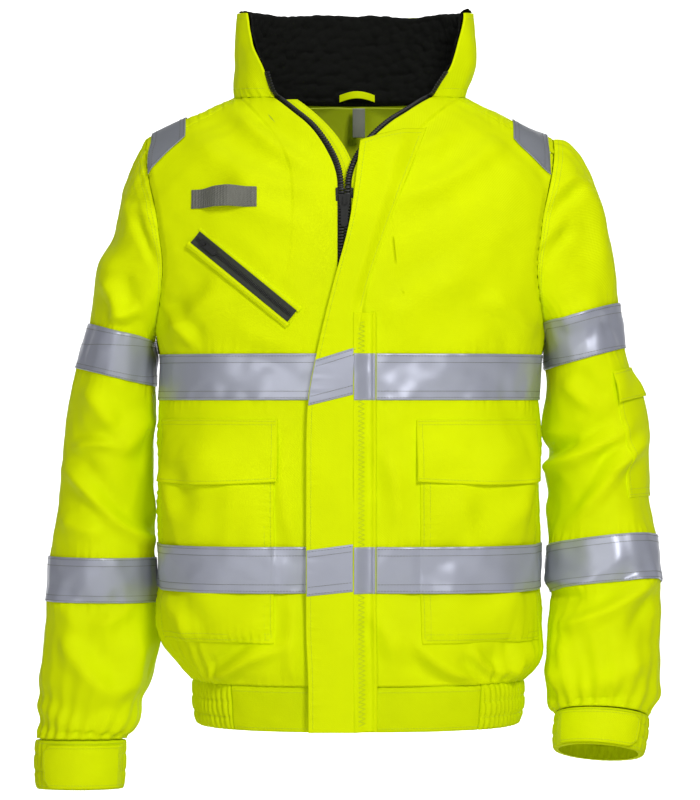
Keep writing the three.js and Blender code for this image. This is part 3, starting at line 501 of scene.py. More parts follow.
def sleeve_cloth(side):
    """How far a sleeve's cloth stands off: random swelling, bent-arm folds and gathers at the cuff."""
    def at(p, turn, row):
        x, y, z = np.moveaxis(p, -1, 0)
        b = 2 * PI * turn
        total = 1.8 * broad(p) + 1.3 * medium(p) - 1.5
        facing = smooth(0.5 + np.sin(b))
        for place_of in SLEEVE_FOLDS[side]:
            total += 1.75 * facing * fold(x, z, *place_of)
        swirl = np.sin(2 * PI * z / 62 + 1.4 * np.sin(b + 0.7 * side) + 1.5 * drift(p) + side)
        bent = np.exp(-(((row - 3) / 1.3) ** 2)) * (0.5 - 0.5 * np.sin(b + 0.4)) + 0.25
        total += 2.6 * (1 - facing) * swirl * bent
        low_blouse = np.exp(-(((row - 6.6) / 0.9) ** 2))
        total += 2.4 * low_blouse * np.sin(2 * PI * z / 44 + 1.8 * np.sin(b + side) + drift(p))
        down = SLEEVE_RINGS[side][CUFF_ROW][0] - SLEEVE_RINGS[side][CUFF_ROW - 1][0]
        to_cuff = (CUFF_ROW - row) * abs(down)
        total += 2.6 * np.exp(-np.maximum(to_cuff, 0) / 20) * np.sin(19 * b + 1.2 * drift(p))
        cap = smooth((row + 1) / 0.35)
        ease = 1.2 * np.exp(-(row + 1) / 0.12) * np.sin(26 * b + 2 * drift(p)) * smooth(np.cos(b))
        hem = smooth((CUFF_ROW - row) / 0.5)
        return total * (0.25 + 0.75 * cap) * (0.35 + 0.65 * hem) + ease

    return at


SLEEVE_CLOTH = {side: sleeve_cloth(side) for side, _ in SIDES}
SLEEVE_TAPES = {
    (-1, "upper"): (-256, -277, 0), (-1, "forearm"): (-517, -518, 1),
    (1, "upper"): (-234, -259, 2), (1, "forearm"): (-494, -505, 9),
}


def tape_top(side, level, turn):
    outer, inner, front = SLEEVE_TAPES[side, level]
    b = 2 * PI * turn
    return lerp(outer, inner, (1 - np.cos(b)) / 2) + front * np.sin(b)


def sleeve_shell(side):
    def at(p, turn, row):
        z = p[..., 2]
        around = 62 * 2 * PI * turn
        total = SLEEVE_CLOTH[side](p, turn, row) + 0.25 * small(p)
        inside = np.zeros_like(z)
        for level in ("upper", "forearm"):
            top = tape_top(side, level, turn)
            for line in (top, top - TAPE_WIDE):
                total += pucker(z - line, around, p, 0.6)
            inside = np.maximum(inside, (z < top - 1) & (z > top - TAPE_WIDE + 1))
        total += pucker((row + 1) * 120, z + around, p, 0.8, 11, 10)
        seam = np.exp(-((np.sin(PI * (turn - 0.56)) * 120 / 2.4) ** 2))
        return total - 1.2 * seam * (1 - inside)

    return at


# ---------- from a surface to a mesh ----------
def body_centre(p):
    """A place inside the garment, which every outward normal points away from."""
    return place(0 * p[..., 0], 0, np.minimum(p[..., 2], -250))


def hang(p):
    """The lower edge hangs a little towards the wearer's left, as worn: 9 mm at the sides of the hem."""
    return 9 * np.abs(p[..., 0]) / 180 * smooth((-585 - p[..., 2]) / 70)


def sleeve_centre(side):
    ring_x = through([(i, r[1]) for i, r in enumerate(SLEEVE_RINGS[side])])
    ring_y = through([(i, r[2]) for i, r in enumerate(SLEEVE_RINGS[side])])

    def at(p, row):
        low = place(side * ring_x(row), ring_y(row), p[..., 2])
        high = place(side * 240 + 0 * p[..., 0], 14, -282)
        return np.where((row < 0)[..., None], high, low)

    return at


def dressed(surface, cloth, centre, u_span=(0, 1), v_span=(0, 1), step=1e-3):
    """A function from parameters and a lift to places on the clothed surface, with the outward normals."""
    def at(u, v, lift=0.0):
        u, v = np.broadcast_arrays(np.asarray(u, float), np.asarray(v, float))
        du, dv = step, step * (v_span[1] - v_span[0])
        p = surface(u, v)
        a = surface(np.minimum(u + du, u_span[1]), v) - surface(np.maximum(u - du, u_span[0]), v)
        b = surface(u, np.minimum(v + dv, v_span[1])) - surface(u, np.maximum(v - dv, v_span[0]))
        n = unit(np.cross(a, b))
        away = p - (centre(p, v) if centre is not body_centre else centre(p))
        n = n * np.where((n * away).sum(-1, keepdims=True) < 0, -1.0, 1.0)
        stand = cloth(p, u, v) + lift
        placed = p + n * np.asarray(stand)[..., None]
        if centre is body_centre:
            placed[..., 0] += hang(placed)
        return placed, n

    return at


HEIGHTS = (-700, 60)


def dressed_levels(surface, cloth, u_span=(0, 1)):
    """The same for a surface of the body whose v is a height in mm."""
    return dressed(surface, cloth, body_centre, u_span, HEIGHTS, 1e-4)


def new_object(name, points, faces, material, uv=None):
    """A mesh object at the origin from millimetre points, (n, 4) faces and one UV per face corner."""
    mesh = bpy.data.meshes.new(name)
    mesh.vertices.add(len(points))
    mesh.vertices.foreach_set("co", (np.asarray(points) / 1000).astype(np.float32).ravel())
    count, size = faces.shape
    mesh.loops.add(count * size)
    mesh.loops.foreach_set("vertex_index", faces.astype(np.int32).ravel())
    mesh.polygons.add(count)
    mesh.polygons.foreach_set("loop_start", np.arange(0, count * size, size, dtype=np.int32))
    mesh.polygons.foreach_set("use_smooth", np.ones(count, bool))
    if uv is not None:
        layer = mesh.uv_layers.new(name="cloth")
        layer.data.foreach_set("uv", uv.astype(np.float32).ravel())
    mesh.materials.append(material)
    mesh.update(calc_edges=True)
    mesh.validate()
    obj = bpy.data.objects.new(name, mesh)
    bpy.context.scene.collection.objects.link(obj)
    return obj


def quads_of(rows, columns, closed, start=0):
    """Quads of a grid, and their columns and rows; closed joins the last column to the first."""
    j, i = np.meshgrid(np.arange(rows - 1), np.arange(columns if closed else columns - 1), indexing="ij")
    j, i = j.ravel(), i.ravel()
    k = (i + 1) % columns
    quads = np.stack([j * columns + i, j * columns + k, (j + 1) * columns + k, (j + 1) * columns + i], 1)
    corners = np.stack([np.stack([i, j], 1), np.stack([i + 1, j], 1), np.stack([i + 1, j + 1], 1),
                        np.stack([i, j + 1], 1)], 1)
    return quads + start, corners


def cloth_piece(name, points, normals, material, thick=1.6, closed=False, double=False):
    """Cloth from a grid of places. Its edges turn in by its thickness; double gives it a back too."""
    if closed:
        points, normals = points[:, :-1], normals[:, :-1]
    pad = ((1, 1), (0, 0) if closed else (1, 1), (0, 0))
    outer = np.pad(points, pad, "edge")
    inward = np.pad(normals, pad, "edge") * thick
    outer[[0, -1]] -= inward[[0, -1]]
    if not closed:
        outer[1:-1, 0] -= inward[1:-1, 0]
        outer[1:-1, -1] -= inward[1:-1, -1]
    rows, columns = outer.shape[:2]
    wide = np.linalg.norm(np.diff(outer, axis=1), axis=-1).mean(0)
    wide = np.append(wide, wide[-1])
    tall = np.linalg.norm(np.diff(outer, axis=0), axis=-1).mean(1)
    u_mm = np.concatenate([[0], np.cumsum(wide)])
    v_mm = np.concatenate([[0], np.cumsum(tall)])
    quads, corners = quads_of(rows, columns, closed)
    places, faces = [outer.reshape(-1, 3)], [quads]
    uv = [np.stack([u_mm[corners[..., 0]], v_mm[corners[..., 1]]], -1)]
    middle = outer.reshape(-1, 3)[quads]
    facing = np.cross(middle[:, 1] - middle[:, 0], middle[:, 3] - middle[:, 0])
    inner_normals = np.pad(normals, pad, "edge").reshape(-1, 3)[quads[:, 0]]
    turned = (facing * inner_normals).sum(-1).sum() < 0
    if double:
        back = points - normals * thick
        back_quads, back_corners = quads_of(*back.shape[:2], closed, len(places[0]))
        places.append(back.reshape(-1, 3))
        faces.append(back_quads[:, ::-1])
        uv.append(np.stack([u_mm[back_corners[:, ::-1, 0]], v_mm[back_corners[:, ::-1, 1]]], -1))
    faces, uv = np.concatenate(faces), np.concatenate(uv) / 1000
    if turned:
        faces, uv = faces[:, ::-1], uv[:, ::-1]
    return new_object(name, np.concatenate(places), faces, material, uv)


def flat_size(points):
    """Width and length in metres of the flat cut of a grid of places."""
    wide = np.linalg.norm(np.diff(points, axis=1), axis=-1).sum(1).mean()
    tall = np.linalg.norm(np.diff(points, axis=0), axis=-1).sum(0).mean()
    return float(wide / 1000), float(tall / 1000)


# ---------- materials ----------
def linear(hex_colour):
    """An sRGB colour like #dff000 as linear RGBA."""
    values = [int(hex_colour[i:i + 2], 16) / 255 for i in (1, 3, 5)]
    return [c / 12.92 if c <= 0.04045 else ((c + 0.055) / 1.055) ** 2.4 for c in values] + [1.0]


def add_node(tree, kind, inputs=(), **settings):
    """One shader node: its settings, then its inputs, each a value or another node's output socket."""
    node = tree.nodes.new(kind)
    for key, value in settings.items():
        setattr(node, key, value)
    for key, value in dict(inputs).items():
        if isinstance(value, bpy.types.NodeSocket):
            tree.links.new(value, node.inputs[key])
        else:
            node.inputs[key].default_value = value
    return node


def cloth_material(name, colour, rough, weave_mm=1.4, bump=0.35, sheen=0.0, shade=0.06, metal=0.0, painted_glow=0.0,
                   ior=1.5, spread_mm=90.0, twill=0.0, gloss=0.5):
    """Woven cloth: crossing threads from the piece's own UV, uneven in colour and roughness."""
    material = bpy.data.materials.new(name)
    material.use_nodes = True
    tree = material.node_tree
    shader = tree.nodes["Principled BSDF"]
    uv = add_node(tree, "ShaderNodeUVMap", uv_map="cloth")
    spot = add_node(tree, "ShaderNodeTexCoord")
    scale = 1000 / weave_mm * PI
    split = add_node(tree, "ShaderNodeSeparateXYZ", {0: uv.outputs[0]})
    skew = add_node(tree, "ShaderNodeMath", {0: split.outputs[1], 1: twill, 2: split.outputs[0]},
                    operation="MULTIPLY_ADD")
    threads = []
    for source in (skew.outputs[0], split.outputs[1]):
        phase = add_node(tree, "ShaderNodeMath", {0: source, 1: scale}, operation="MULTIPLY")
        threads.append(add_node(tree, "ShaderNodeMath", {0: phase.outputs[0]}, operation="SINE"))
    weave = add_node(tree, "ShaderNodeMath", {0: threads[0].outputs[0], 1: threads[1].outputs[0]},
                     operation="MULTIPLY")
    uneven = add_node(tree, "ShaderNodeTexNoise", {
        "Vector": spot.outputs["Object"], "Scale": 1000 / spread_mm, "Detail": 4.0, "Roughness": 0.55,
    })
    mottled = add_node(tree, "ShaderNodeMapRange", {
        0: uneven.outputs[0], 1: 0.3, 2: 0.7, 3: 1 - shade, 4: 1 + shade / 2,
    })
    thread = add_node(tree, "ShaderNodeMath", {0: weave.outputs[0], 1: 0.03, 2: mottled.outputs[0]},
                      operation="MULTIPLY_ADD")
    tint = add_node(tree, "ShaderNodeVectorMath", {0: linear(colour)[:3], 3: thread.outputs[0]},
                    operation="SCALE")
    tree.links.new(tint.outputs[0], shader.inputs["Base Color"])
    dull = add_node(tree, "ShaderNodeMapRange", {
        0: uneven.outputs[0], 1: 0.3, 2: 0.7, 3: rough - 0.05, 4: rough + 0.05,
    })
    tree.links.new(dull.outputs[0], shader.inputs["Roughness"])
    relief = add_node(tree, "ShaderNodeBump", {
        "Strength": bump, "Distance": weave_mm / 4000, "Height": weave.outputs[0],
    })
    tree.links.new(relief.outputs[0], shader.inputs["Normal"])
    shader.inputs["Metallic"].default_value = metal
    shader.inputs["IOR"].default_value = ior
    shader.inputs["Specular IOR Level"].default_value = gloss
    shader.inputs["Sheen Weight"].default_value = sheen
    shader.inputs["Sheen Roughness"].default_value = 0.4
    shader.inputs["Sheen Tint"].default_value = linear(colour)
    # painted light: the cloth's own colour given out as a faint glow, so it looks bright whatever lights it
    if painted_glow:
        shader.inputs["Emission Color"].default_value = linear(colour)
        shader.inputs["Emission Strength"].default_value = painted_glow
    return material


def plain_material(name, colour, rough, grain_mm=0.6, bump=0.1, metal=0.0, ior=1.5):
    """A moulded or cast surface with a fine grain in its relief and roughness."""
    material = bpy.data.materials.new(name)
    material.use_nodes = True
    tree = material.node_tree
    shader = tree.nodes["Principled BSDF"]
    spot = add_node(tree, "ShaderNodeTexCoord")
    grain = add_node(tree, "ShaderNodeTexNoise", {
        "Vector": spot.outputs["Object"], "Scale": 1000 / grain_mm, "Detail": 3.0,
    })
    relief = add_node(tree, "ShaderNodeBump", {
        "Strength": bump, "Distance": 0.0002, "Height": grain.outputs[0],
    })
    dull = add_node(tree, "ShaderNodeMapRange", {0: grain.outputs[0], 3: rough - 0.08, 4: rough + 0.08})
    tree.links.new(dull.outputs[0], shader.inputs["Roughness"])
    tree.links.new(relief.outputs[0], shader.inputs["Normal"])
    shader.inputs["Base Color"].default_value = linear(colour)
    shader.inputs["Metallic"].default_value = metal
    shader.inputs["IOR"].default_value = ior
    return material


SHELL_COLOUR = "#dff000"
shell_cloth = cloth_material("coated_polyester", SHELL_COLOUR, 0.68, 1.3, 0.3,
                             shade=0.05, painted_glow=0.05, gloss=0.05)
# dull daylight-fluorescent yellow oxford with a thin coating: bright, a soft broad highlight; the faint glow
# of its own colour added on top is painted light
hem_cloth = cloth_material("coated_polyester_doubled", "#d6e800", 0.7, 1.3, 0.3,
                           shade=0.06, painted_glow=0.04, gloss=0.05)
# the same cloth folded double over elastic, a shade deeper, with the same faint glow of its own colour as
# painted light
lining_cloth = cloth_material("quilted_taffeta", "#c2d40f", 0.55, 0.9, 0.2, sheen=0.1, shade=0.08)
# thin slippery lining, duller and greener than the shell
pile = cloth_material("acrylic_pile", "#10110e", 0.95, 1.1, 0.9,
                      sheen=0.2, shade=0.25, spread_mm=9, gloss=0.2)
# curly black pile: drinks the light, with a grey bloom at its edges
tape_shaded = cloth_material("retroreflective_tape_dulled", "#94979f", 0.45, 0.7, 0.12,
                           shade=0.05, metal=0.3, spread_mm=60)
# the same tape on the shoulders as a darker, rougher copy: painted shade where the tape turns over the
# shoulders
tape_face = cloth_material("retroreflective_tape", "#b2b5c4", 0.38, 0.7, 0.12,
                           shade=0.05, metal=0.35, spread_mm=60)
# glass-bead tape: cool grey, satin, a little brighter where it faces the light
webbing = cloth_material("polyester_webbing", "#74746b", 0.7, 1.9, 0.8, shade=0.08, twill=1.0)
# grey narrow webbing with a coarse weave
zip_tape = cloth_material("zip_tape", "#31352a", 0.8, 1.0, 0.5, shade=0.08)
# dark knitted zip tape
label_cloth = cloth_material("satin_label", "#8d8f86", 0.4, 0.5, 0.15, shade=0.03, sheen=0.2)
# smooth blank satin label
thread_yellow = plain_material("sewing_thread_yellow", "#c9dc00", 0.6, 0.4)
# yellow polyester thread, lying in a small dent
thread_grey = plain_material("sewing_thread_grey", "#74766f", 0.6, 0.4)
# darker grey-green thread on the tapes
acetal = plain_material("moulded_acetal", "#191a17", 0.42, 0.8, 0.15)
# black moulded zip teeth: satin plastic
painted = plain_material("lacquered_zinc", "#1d1e1b", 0.34, 0.5, 0.1, metal=0.25)
# black lacquered die-cast slider and puller


def soft(obj, body, slot, *nodes, fill=None, flat=None, held="stretched", rests=(), bend=None):
    """Hides the CAD parts a cloth piece stands for, then attaches it to its body's empty, or bakes its
    transform if it is given a bend.
    """
    if nodes:
        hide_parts(*nodes)
    if flat is not None:
        cut = [max(side, 0.0101) for side in flat]
    if bend:
        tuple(bend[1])
        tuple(bend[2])
        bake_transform(obj)
    else:
        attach(obj, body)
    return obj


def cloth_sheet(name, points, normals, material, thick, body, slot, *nodes,
                held="stretched", bend=None, **form):
    """A sheet of cloth from a grid of places."""
    piece = cloth_piece(name, points, normals, material, thick, **form)
    return soft(piece, body, slot, *nodes, flat=flat_size(points), held=held, bend=bend)


def cloth_pad(name, points, normals, material, thick, body, slot, *nodes, fill, bend=None, **form):
    """The shell or the lining of a padded piece."""
    piece = cloth_piece(name, points, normals, material, thick, **form)
    return soft(piece, body, slot, *nodes, fill=fill, bend=bend)


# ---------- stitches ----------
STITCH_PITCH = 3.4
STITCH_LONG = 2.5
STITCH_RADIUS = 0.33


def capsules(starts, ends, normals, radius=STITCH_RADIUS):
    """Small closed threads from starts to ends: four five-sided rings each, the outer two drawn in."""
    along = unit(ends - starts)
    side = unit(np.cross(normals, along))
    up = np.cross(along, side)
    turn = np.arange(5) * 2 * PI / 5
    rings = []
    for share, wide in ((0.0, 0.35), (0.18, 1.0), (0.82, 1.0), (1.0, 0.35)):
        centre = starts + (ends - starts) * share
        ring = side[:, None] * np.cos(turn)[:, None] + up[:, None] * np.sin(turn)[:, None] * 0.7
        rings.append(centre[:, None] + ring * radius * wide)
    points = np.stack(rings, 1).reshape(-1, 3)
    faces = []
    for ring in range(3):
        for k in range(5):
            m = (k + 1) % 5
            faces.append([ring * 5 + k, ring * 5 + m, ring * 5 + 5 + m, ring * 5 + 5 + k])
    for ring, order in ((0, (0, 4, 3, 2)), (0, (2, 1, 0, 0)), (3, (0, 1, 2, 3)), (3, (3, 4, 0, 0))):
        if len(set(order)) == 4:
            faces.append([ring * 5 + k for k in order])
    faces = np.array(faces)
    offset = np.arange(len(starts)) * 20
    return points, (faces[None] + offset[:, None, None]).reshape(-1, 4)


def seam_stitches(points, normals, pitch=STITCH_PITCH, long=STITCH_LONG):
    """Start, end and normal of each stitch along a path of places."""
    steps = np.linalg.norm(np.diff(points, axis=0), axis=1)
    run = np.concatenate([[0], np.cumsum(steps)])
    starts = np.arange(pitch / 2, run[-1] - long, pitch)
    pick = [np.stack([np.interp(s, run, a[:, k]) for k in range(3)], 1)
            for s in (starts, starts + long) for a in (points, normals)]
    return pick[0], pick[2], unit(pick[1])


def sewn(name, paths, material, body, bend=None, pitch=STITCH_PITCH, long=STITCH_LONG):
    """One object holding the stitches of several rows."""
    runs = [seam_stitches(p, n, pitch, long) for p, n in paths]
    starts, ends, normals = (np.concatenate([r[k] for r in runs]) for k in range(3))
    points, faces = capsules(starts, ends, normals)
    obj = new_object(name, points, faces, material, np.zeros((faces.size, 2)))
    if bend:
        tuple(bend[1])
        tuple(bend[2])
        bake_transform(obj)
    else:
        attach(obj, body)
    return obj


def line(at, u, v, lift, count=200):
    """Places and normals along a straight run of parameters, each a number or a (from, to) pair."""
    t = np.linspace(0, 1, count)
    u = lerp(*u, t) if isinstance(u, tuple) else np.full(count, float(u))
    v = lerp(*v, t) if isinstance(v, tuple) else np.full(count, float(v))
    return at(u, v, lift)


# ---------- the body's shells and linings ----------
front_on = {}
stitch_paths = []
for side, name in SIDES:
    panel = front_panel(side)
    at = dressed(panel, body_shell, body_centre)
    points, normals = at(*grid(150, 330))
    cloth_pad(f"{name}_front_cloth", points, normals, shell_cloth, 2.0, "body", "shell",
              f"{name}_front_shell", fill=0.35)

    quilt = dressed(panel, lambda p, u, v: cloth_low(p) * 0.6, body_centre)
    u, v = grid(80, 170, (0.03, 0.99), (0.01, 0.96))
    points, normals = quilt(u, v)
    channel = 2.5 * np.abs(np.sin(PI * (points[..., 2] + 0.4 * points[..., 0]) / 62)) ** 0.6
    inner = points - normals * (5.5 + channel)[..., None]
    cloth_pad(f"{name}_front_quilt", inner, -normals, lining_cloth, 1.2, "body", "lining",
              f"{name}_front_lining", fill=0.4)
    front_on[side] = dressed_levels(level_patch(side, -1), body_cloth)

back_at = dressed(back_panel, body_shell, body_centre)
points, normals = back_at(*grid(300, 300))
cloth_pad("back_cloth", points, normals, shell_cloth, 2.0, "body", "shell", "back_shell", fill=0.35)
quilt = dressed(back_panel, lambda p, u, v: cloth_low(p) * 0.6, body_centre)
points, normals = quilt(*grid(150, 150, (0.01, 0.99), (0.01, 0.985)))
channel = 2.5 * np.abs(np.sin(PI * (points[..., 2] + 0.4 * np.abs(points[..., 0])) / 62)) ** 0.6
cloth_pad("back_quilt", points - normals * (5.5 + channel)[..., None], -normals, lining_cloth, 1.2, "body",
          "lining", "back_lining", fill=0.4)


# ---------- hem ----------
def hem_cloth_shape(p, u, v):
    """The band's roundness between its two sewn edges, and the elastic's gathers."""
    x, y, z = np.moveaxis(p, -1, 0)
    t = (z - HEM_BOTTOM_Z) / 46.5
    gathered = np.where(y > 8, 1, smooth((share_at(x, z) - 0.53) / 0.02))
    around = np.abs(round_body(p))
    around = np.where(y > 8, 2 * HALF_GIRTH - around, around) * np.sign(x + 1e-6)
    ribs = np.abs(np.sin(PI * around / 8.5 + 0.9 * drift(p))) ** 0.8
    belly = np.sin(PI * clamp01(t)) ** 0.5
    rows = np.exp(-(((t - 0.3) * 46 / 2.0) ** 2)) + np.exp(-(((t - 0.68) * 46 / 2.0) ** 2))
    tucked = 3.0 * smooth((z - HEM_SEAM_Z + 2) / 4)
    elastic = gathered * (ribs * 3.8 - 1.6 * rows) * (0.35 + 0.65 * belly)
    return belly * 2.0 - tucked + elastic + 0.3 * small(p) - 0.5


for side, name in SIDES:
    inner_x = abs(ZIP_X + side * ZIP_GAP) if side > 0 else abs(ZIP_X - ZIP_GAP)
    first = float(share_at(inner_x, HEM_BOTTOM_Z))
    at = dressed_levels(level_patch(side, -1), hem_cloth_shape)
    u, v = grid(90, 26, (first, HEM_PLAIN_SHARE), (HEM_BOTTOM_Z, HEM_SEAM_Z + 4))
    points, normals = at(u, v)
    cloth_pad(f"{name}_hem_cloth", points, normals, hem_cloth, 4.0, "body", "shell", f"{name}_hem_band",
              fill=0.2, double=True)
    for z in (HEM_BOTTOM_Z + 4, HEM_SEAM_Z - 5):
        stitch_paths.append(line(at, (first, HEM_PLAIN_SHARE), z, 0.1))


def hem_round(u, z):
    """The hem from one plain front round the back to the other."""
    side, w = np.where(u < 0.5, -1, 1), 1 - np.abs(2 * u - 1)
    behind = across(1 - (w - 0.24) / 0.76, z, 0)
    ahead = across(lerp(HEM_PLAIN_SHARE + 0.006, 1, np.minimum(1, w / 0.24)), z, 0)
    x = np.where(w >= 0.24, behind, ahead)
    return place(side * x, body_y(x, z, np.where(w >= 0.24, 1, -1)), z)


at = dressed_levels(hem_round, hem_cloth_shape)
u, v = grid(760, 22, (0, 1), (HEM_BOTTOM_Z, HEM_SEAM_Z + 4))
points, normals = at(u, v)
cloth_pad("elastic_hem_cloth", points, normals, hem_cloth, 5.0, "body", "shell", "hem_elastic", fill=0.3,
          double=True)
for share in (0.3, 0.68):
    stitch_paths.append(line(at, (0, 1), HEM_BOTTOM_Z + 46 * share, 0.2, 900))

# ---------- collar ----------
def collar_cloth(p, u, v):
    """A stiff padded collar: a little rounder between its edges, with shallow upright waves."""
    belly = np.sin(PI * clamp01(v)) ** 0.6
    ends = np.exp(-(((np.abs(2 * u - 1) - 1) / 0.06) ** 2))
    gathers = pucker(v * 92, u * 420, p, 0.5)
    return 1.5 * belly + 1.6 * medium(p) * belly + 0.3 * small(p) + gathers - 1.5 * ends


def collar_centre(p):
    return place(0 * p[..., 0], NECK_CENTRE_Y, p[..., 2])


collar_at = dressed(collar, collar_cloth, lambda p, v: collar_centre(p), (0, 1), (-0.1, 1))
points, normals = collar_at(*grid(260, 56, (0, 1), (-0.035, 1)), 1.0)
cloth_pad("collar_cloth", points, normals, shell_cloth, 2.4, "body", "shell", "collar_shell", fill=0.3,
          double=True)
for h in (0.93, 0.07):
    stitch_paths.append(line(collar_at, (0.01, 0.99), h, 1.05, 500))


def curls(a, b, cell, seed):
    """Bumps of curly pile: for places a and b in mm, the highest of nearby domes set on a shaken grid."""
    draw = np.random.default_rng(seed)
    shaken = draw.uniform(0.1, 0.9, (64, 64, 2))
    tall = draw.uniform(0.6, 1.0, (64, 64))
    i, j = np.floor(a / cell).astype(int), np.floor(b / cell).astype(int)
    best = np.zeros(a.shape)
    for di in (-1, 0, 1):
        for dj in (-1, 0, 1):
            ci, cj = (i + di) % 64, (j + dj) % 64
            ca, cb = (i + di + shaken[ci, cj, 0]) * cell, (j + dj + shaken[ci, cj, 1]) * cell
            near = 1 - ((a - ca) ** 2 + (b - cb) ** 2) / (0.82 * cell) ** 2
            best = np.maximum(best, tall[ci, cj] * np.sqrt(np.maximum(near, 0)))
    return best


u, v = grid(330, 90, (0.004, 0.996), (-0.09, 1.0))
pile_at = dressed(collar, lambda p, u, v: 0.8 * medium(p), lambda p, v: collar_centre(p), (0, 1), (-0.1, 1))
points, normals = pile_at(u, v)
tuft = curls(u * 470, v * 92, 8.5, 4) * 4.6
round_edge = np.minimum(1, np.minimum(v + 0.09, 1 - v) / 0.05) ** 0.5
round_edge = round_edge * np.minimum(1, np.minimum(u, 1 - u) / 0.012) ** 0.5
inner = points - normals * (1.6 + (5.2 + tuft) * round_edge)[..., None]
inner[..., 2] += smooth((v - 0.7) / 0.3) * (1.5 + 0.5 * tuft + 1.6 * medium(points))
cloth_pad("collar_pile", inner, -normals, pile, 1.0, "body", "fleece", "collar_fleece", fill=0.5)

# ---------- inside the neck ----------
def inside_ring(x):
    return NECK_CENTRE_Y + (NECK_HALF_DEPTH - 12) * np.sqrt(1 - (x / (NECK_HALF_WIDTH - 12)) ** 2)


u, v = grid(60, 8)
x = 8 + 20 * (2 * u - 1)
points = place(x, inside_ring(x) - 9 * np.sin(PI * u), -5 + 8 * v + 4 * np.sin(PI * u))
cloth_sheet("hanger_tape", points, place(0 * u, -1, 0 * u), shell_cloth, 1.2, "body", "shell",
            "hanger_loop", double=True)
u, v = grid(14, 32)
bow = 1.2 * np.sin(PI * u) + 0.8 * np.sin(5 * v)
points = place(3 + 14 * u, 58 + 12 * (1 - v) - bow, -12 - 32 * (1 - v))
cloth_sheet("blank_label", points, place(0 * u, -0.94, -0.35 + 0 * u), label_cloth, 0.7, "body", "label",
            "neck_label", held="hung", double=True)


# ---------- reflective tapes on the body ----------
def pocket_bulge(u, v):
    return POCKET_DEEP * np.maximum(0, np.sin(PI * clamp01(u))) ** 0.6 * clamp01(v) ** 0.45


def over_pocket(side, share, z):
    """How far the waist tape rides up over the patch pocket."""
    inner = share_at(POCKET_INNER_X[side], z)
    p = (share - inner) / (POCKET_OUTER - inner)
    onto = smooth((p + 0.16) / 0.12) * smooth((1.16 - p) / 0.12)
    return onto * (pocket_bulge(p, (z - POCKET_BOTTOM_Z) / (POCKET_TOP_Z - POCKET_BOTTOM_Z)) + 3.0)


def tape_ripple(p, z_top):
    """A tape's own small buckles: it is stiffer than the cloth, and creases across itself here and there."""
    edge = np.abs(np.abs(p[..., 2] - z_top + TAPE_WIDE / 2) - TAPE_WIDE / 2)
    return 0.3 * np.exp(-edge / 8) * np.sin(2 * PI * round_body(p) / 21 + 2 * drift(p)) + 0.25 * small(p)


def under_tape(z_top):
    """The cloth below a tape with its top edge at z_top, and the tape's own buckles."""
    return lambda p, u, v: cloth_low(p) + tape_ripple(p, z_top)


def back_levels(u, z):
    """Like level_patch, from the right side edge round the back to the left one."""
    right, left = level_patch(-1, 1)(1 - 2 * u, z), level_patch(1, 1)(2 * u - 1, z)
    return np.where((u < 0.5)[..., None], right, left)


TAPE_ROWS = (2.5, 9.5, 40.5, 47.5)  # rows of stitches, down from the tape's top edge
grey_paths = []
for level, z_top in (("chest", CHEST_TAPE_Z), ("waist", WAIST_TAPE_Z)):
    for side, name in SIDES:
        first = float(share_at(14 if side < 0 else 28, z_top))
        ride_up = 1.0 if level == "waist" else 0.0
        at = dressed_levels(level_patch(side, -1), under_tape(z_top))
        u, v = grid(170, 26, (first, 0.997), (z_top - TAPE_WIDE, z_top))
        points, normals = at(u, v, ride_up * over_pocket(side, u, v) + TAPE_LIFT + 0.6)
        cloth_sheet(f"{level}_reflector_{name}", points, normals, tape_face, 0.8, "body", "tape",
                    f"{level}_tape_{name}")
        for inset in TAPE_ROWS:
            t = np.linspace(first, 0.995, 400)
            z = np.full(400, z_top - inset)
            grey_paths.append(at(t, z, ride_up * over_pocket(side, t, z) + TAPE_LIFT + 0.75))
    back_level = dressed_levels(back_levels, under_tape(z_top))
    u, v = grid(320, 26, (0.003, 0.997), (z_top - TAPE_WIDE, z_top))
    points, normals = back_level(u, v, TAPE_LIFT + 0.6)
    cloth_sheet(f"{level}_reflector_back", points, normals, tape_face, 0.8, "body", "tape",
                f"{level}_tape_back")
    for inset in TAPE_ROWS:
        grey_paths.append(line(back_level, (0.005, 0.995), z_top - inset, TAPE_LIFT + 0.75, 900))

for side, name in SIDES:
    bottom = (CHEST_TAPE_Z + 1 - HEM_SEAM_Z) / (ARCH_START_Z - HEM_SEAM_Z) * 0.5

    def brace(u, v, side=side):
        """Up the back, over the ridge to the shoulder seam at v = 1, and on down the front to v = 1.1."""
        behind = back_panel(0.5 + side * u / 2, np.minimum(v, 1))
        down = (v - 1) / 0.1 * lerp(13, 30, (u - 0.77) / 0.195)
        x, z = np.abs(behind[..., 0]), behind[..., 2] - np.maximum(down, 0)
        ahead = place(behind[..., 0], body_y(x, z, -1), z)
        return np.where((v <= 1)[..., None], behind, ahead)

    at = dressed(brace, body_cloth, body_centre, (0, 1), (0, 1.11), 1e-3)
    points, normals = at(*grid(40, 230, (0.76, 0.965), (bottom, 1.1)), TAPE_LIFT + 1.0)
    # the brace tapes take the tape's darker copy: painted shade over the shoulders
    cloth_sheet(f"brace_reflector_{name}", points, normals, tape_shaded, 0.8, "body", "tape",
                f"brace_tape_{name}")
    for share in (0.768, 0.79, 0.935, 0.957):
        grey_paths.append(line(at, share, (bottom, 1.095), TAPE_LIFT + 1.15, 400))
    grey_paths.append(line(at, (0.77, 0.955), 1.094, TAPE_LIFT + 1.15, 60))


# ---------- patch pockets and their flaps ----------
def pocket_patch(side):
    return lambda u, z: level_patch(side, -1)(lerp(share_at(POCKET_INNER_X[side], z), POCKET_OUTER, u), z)


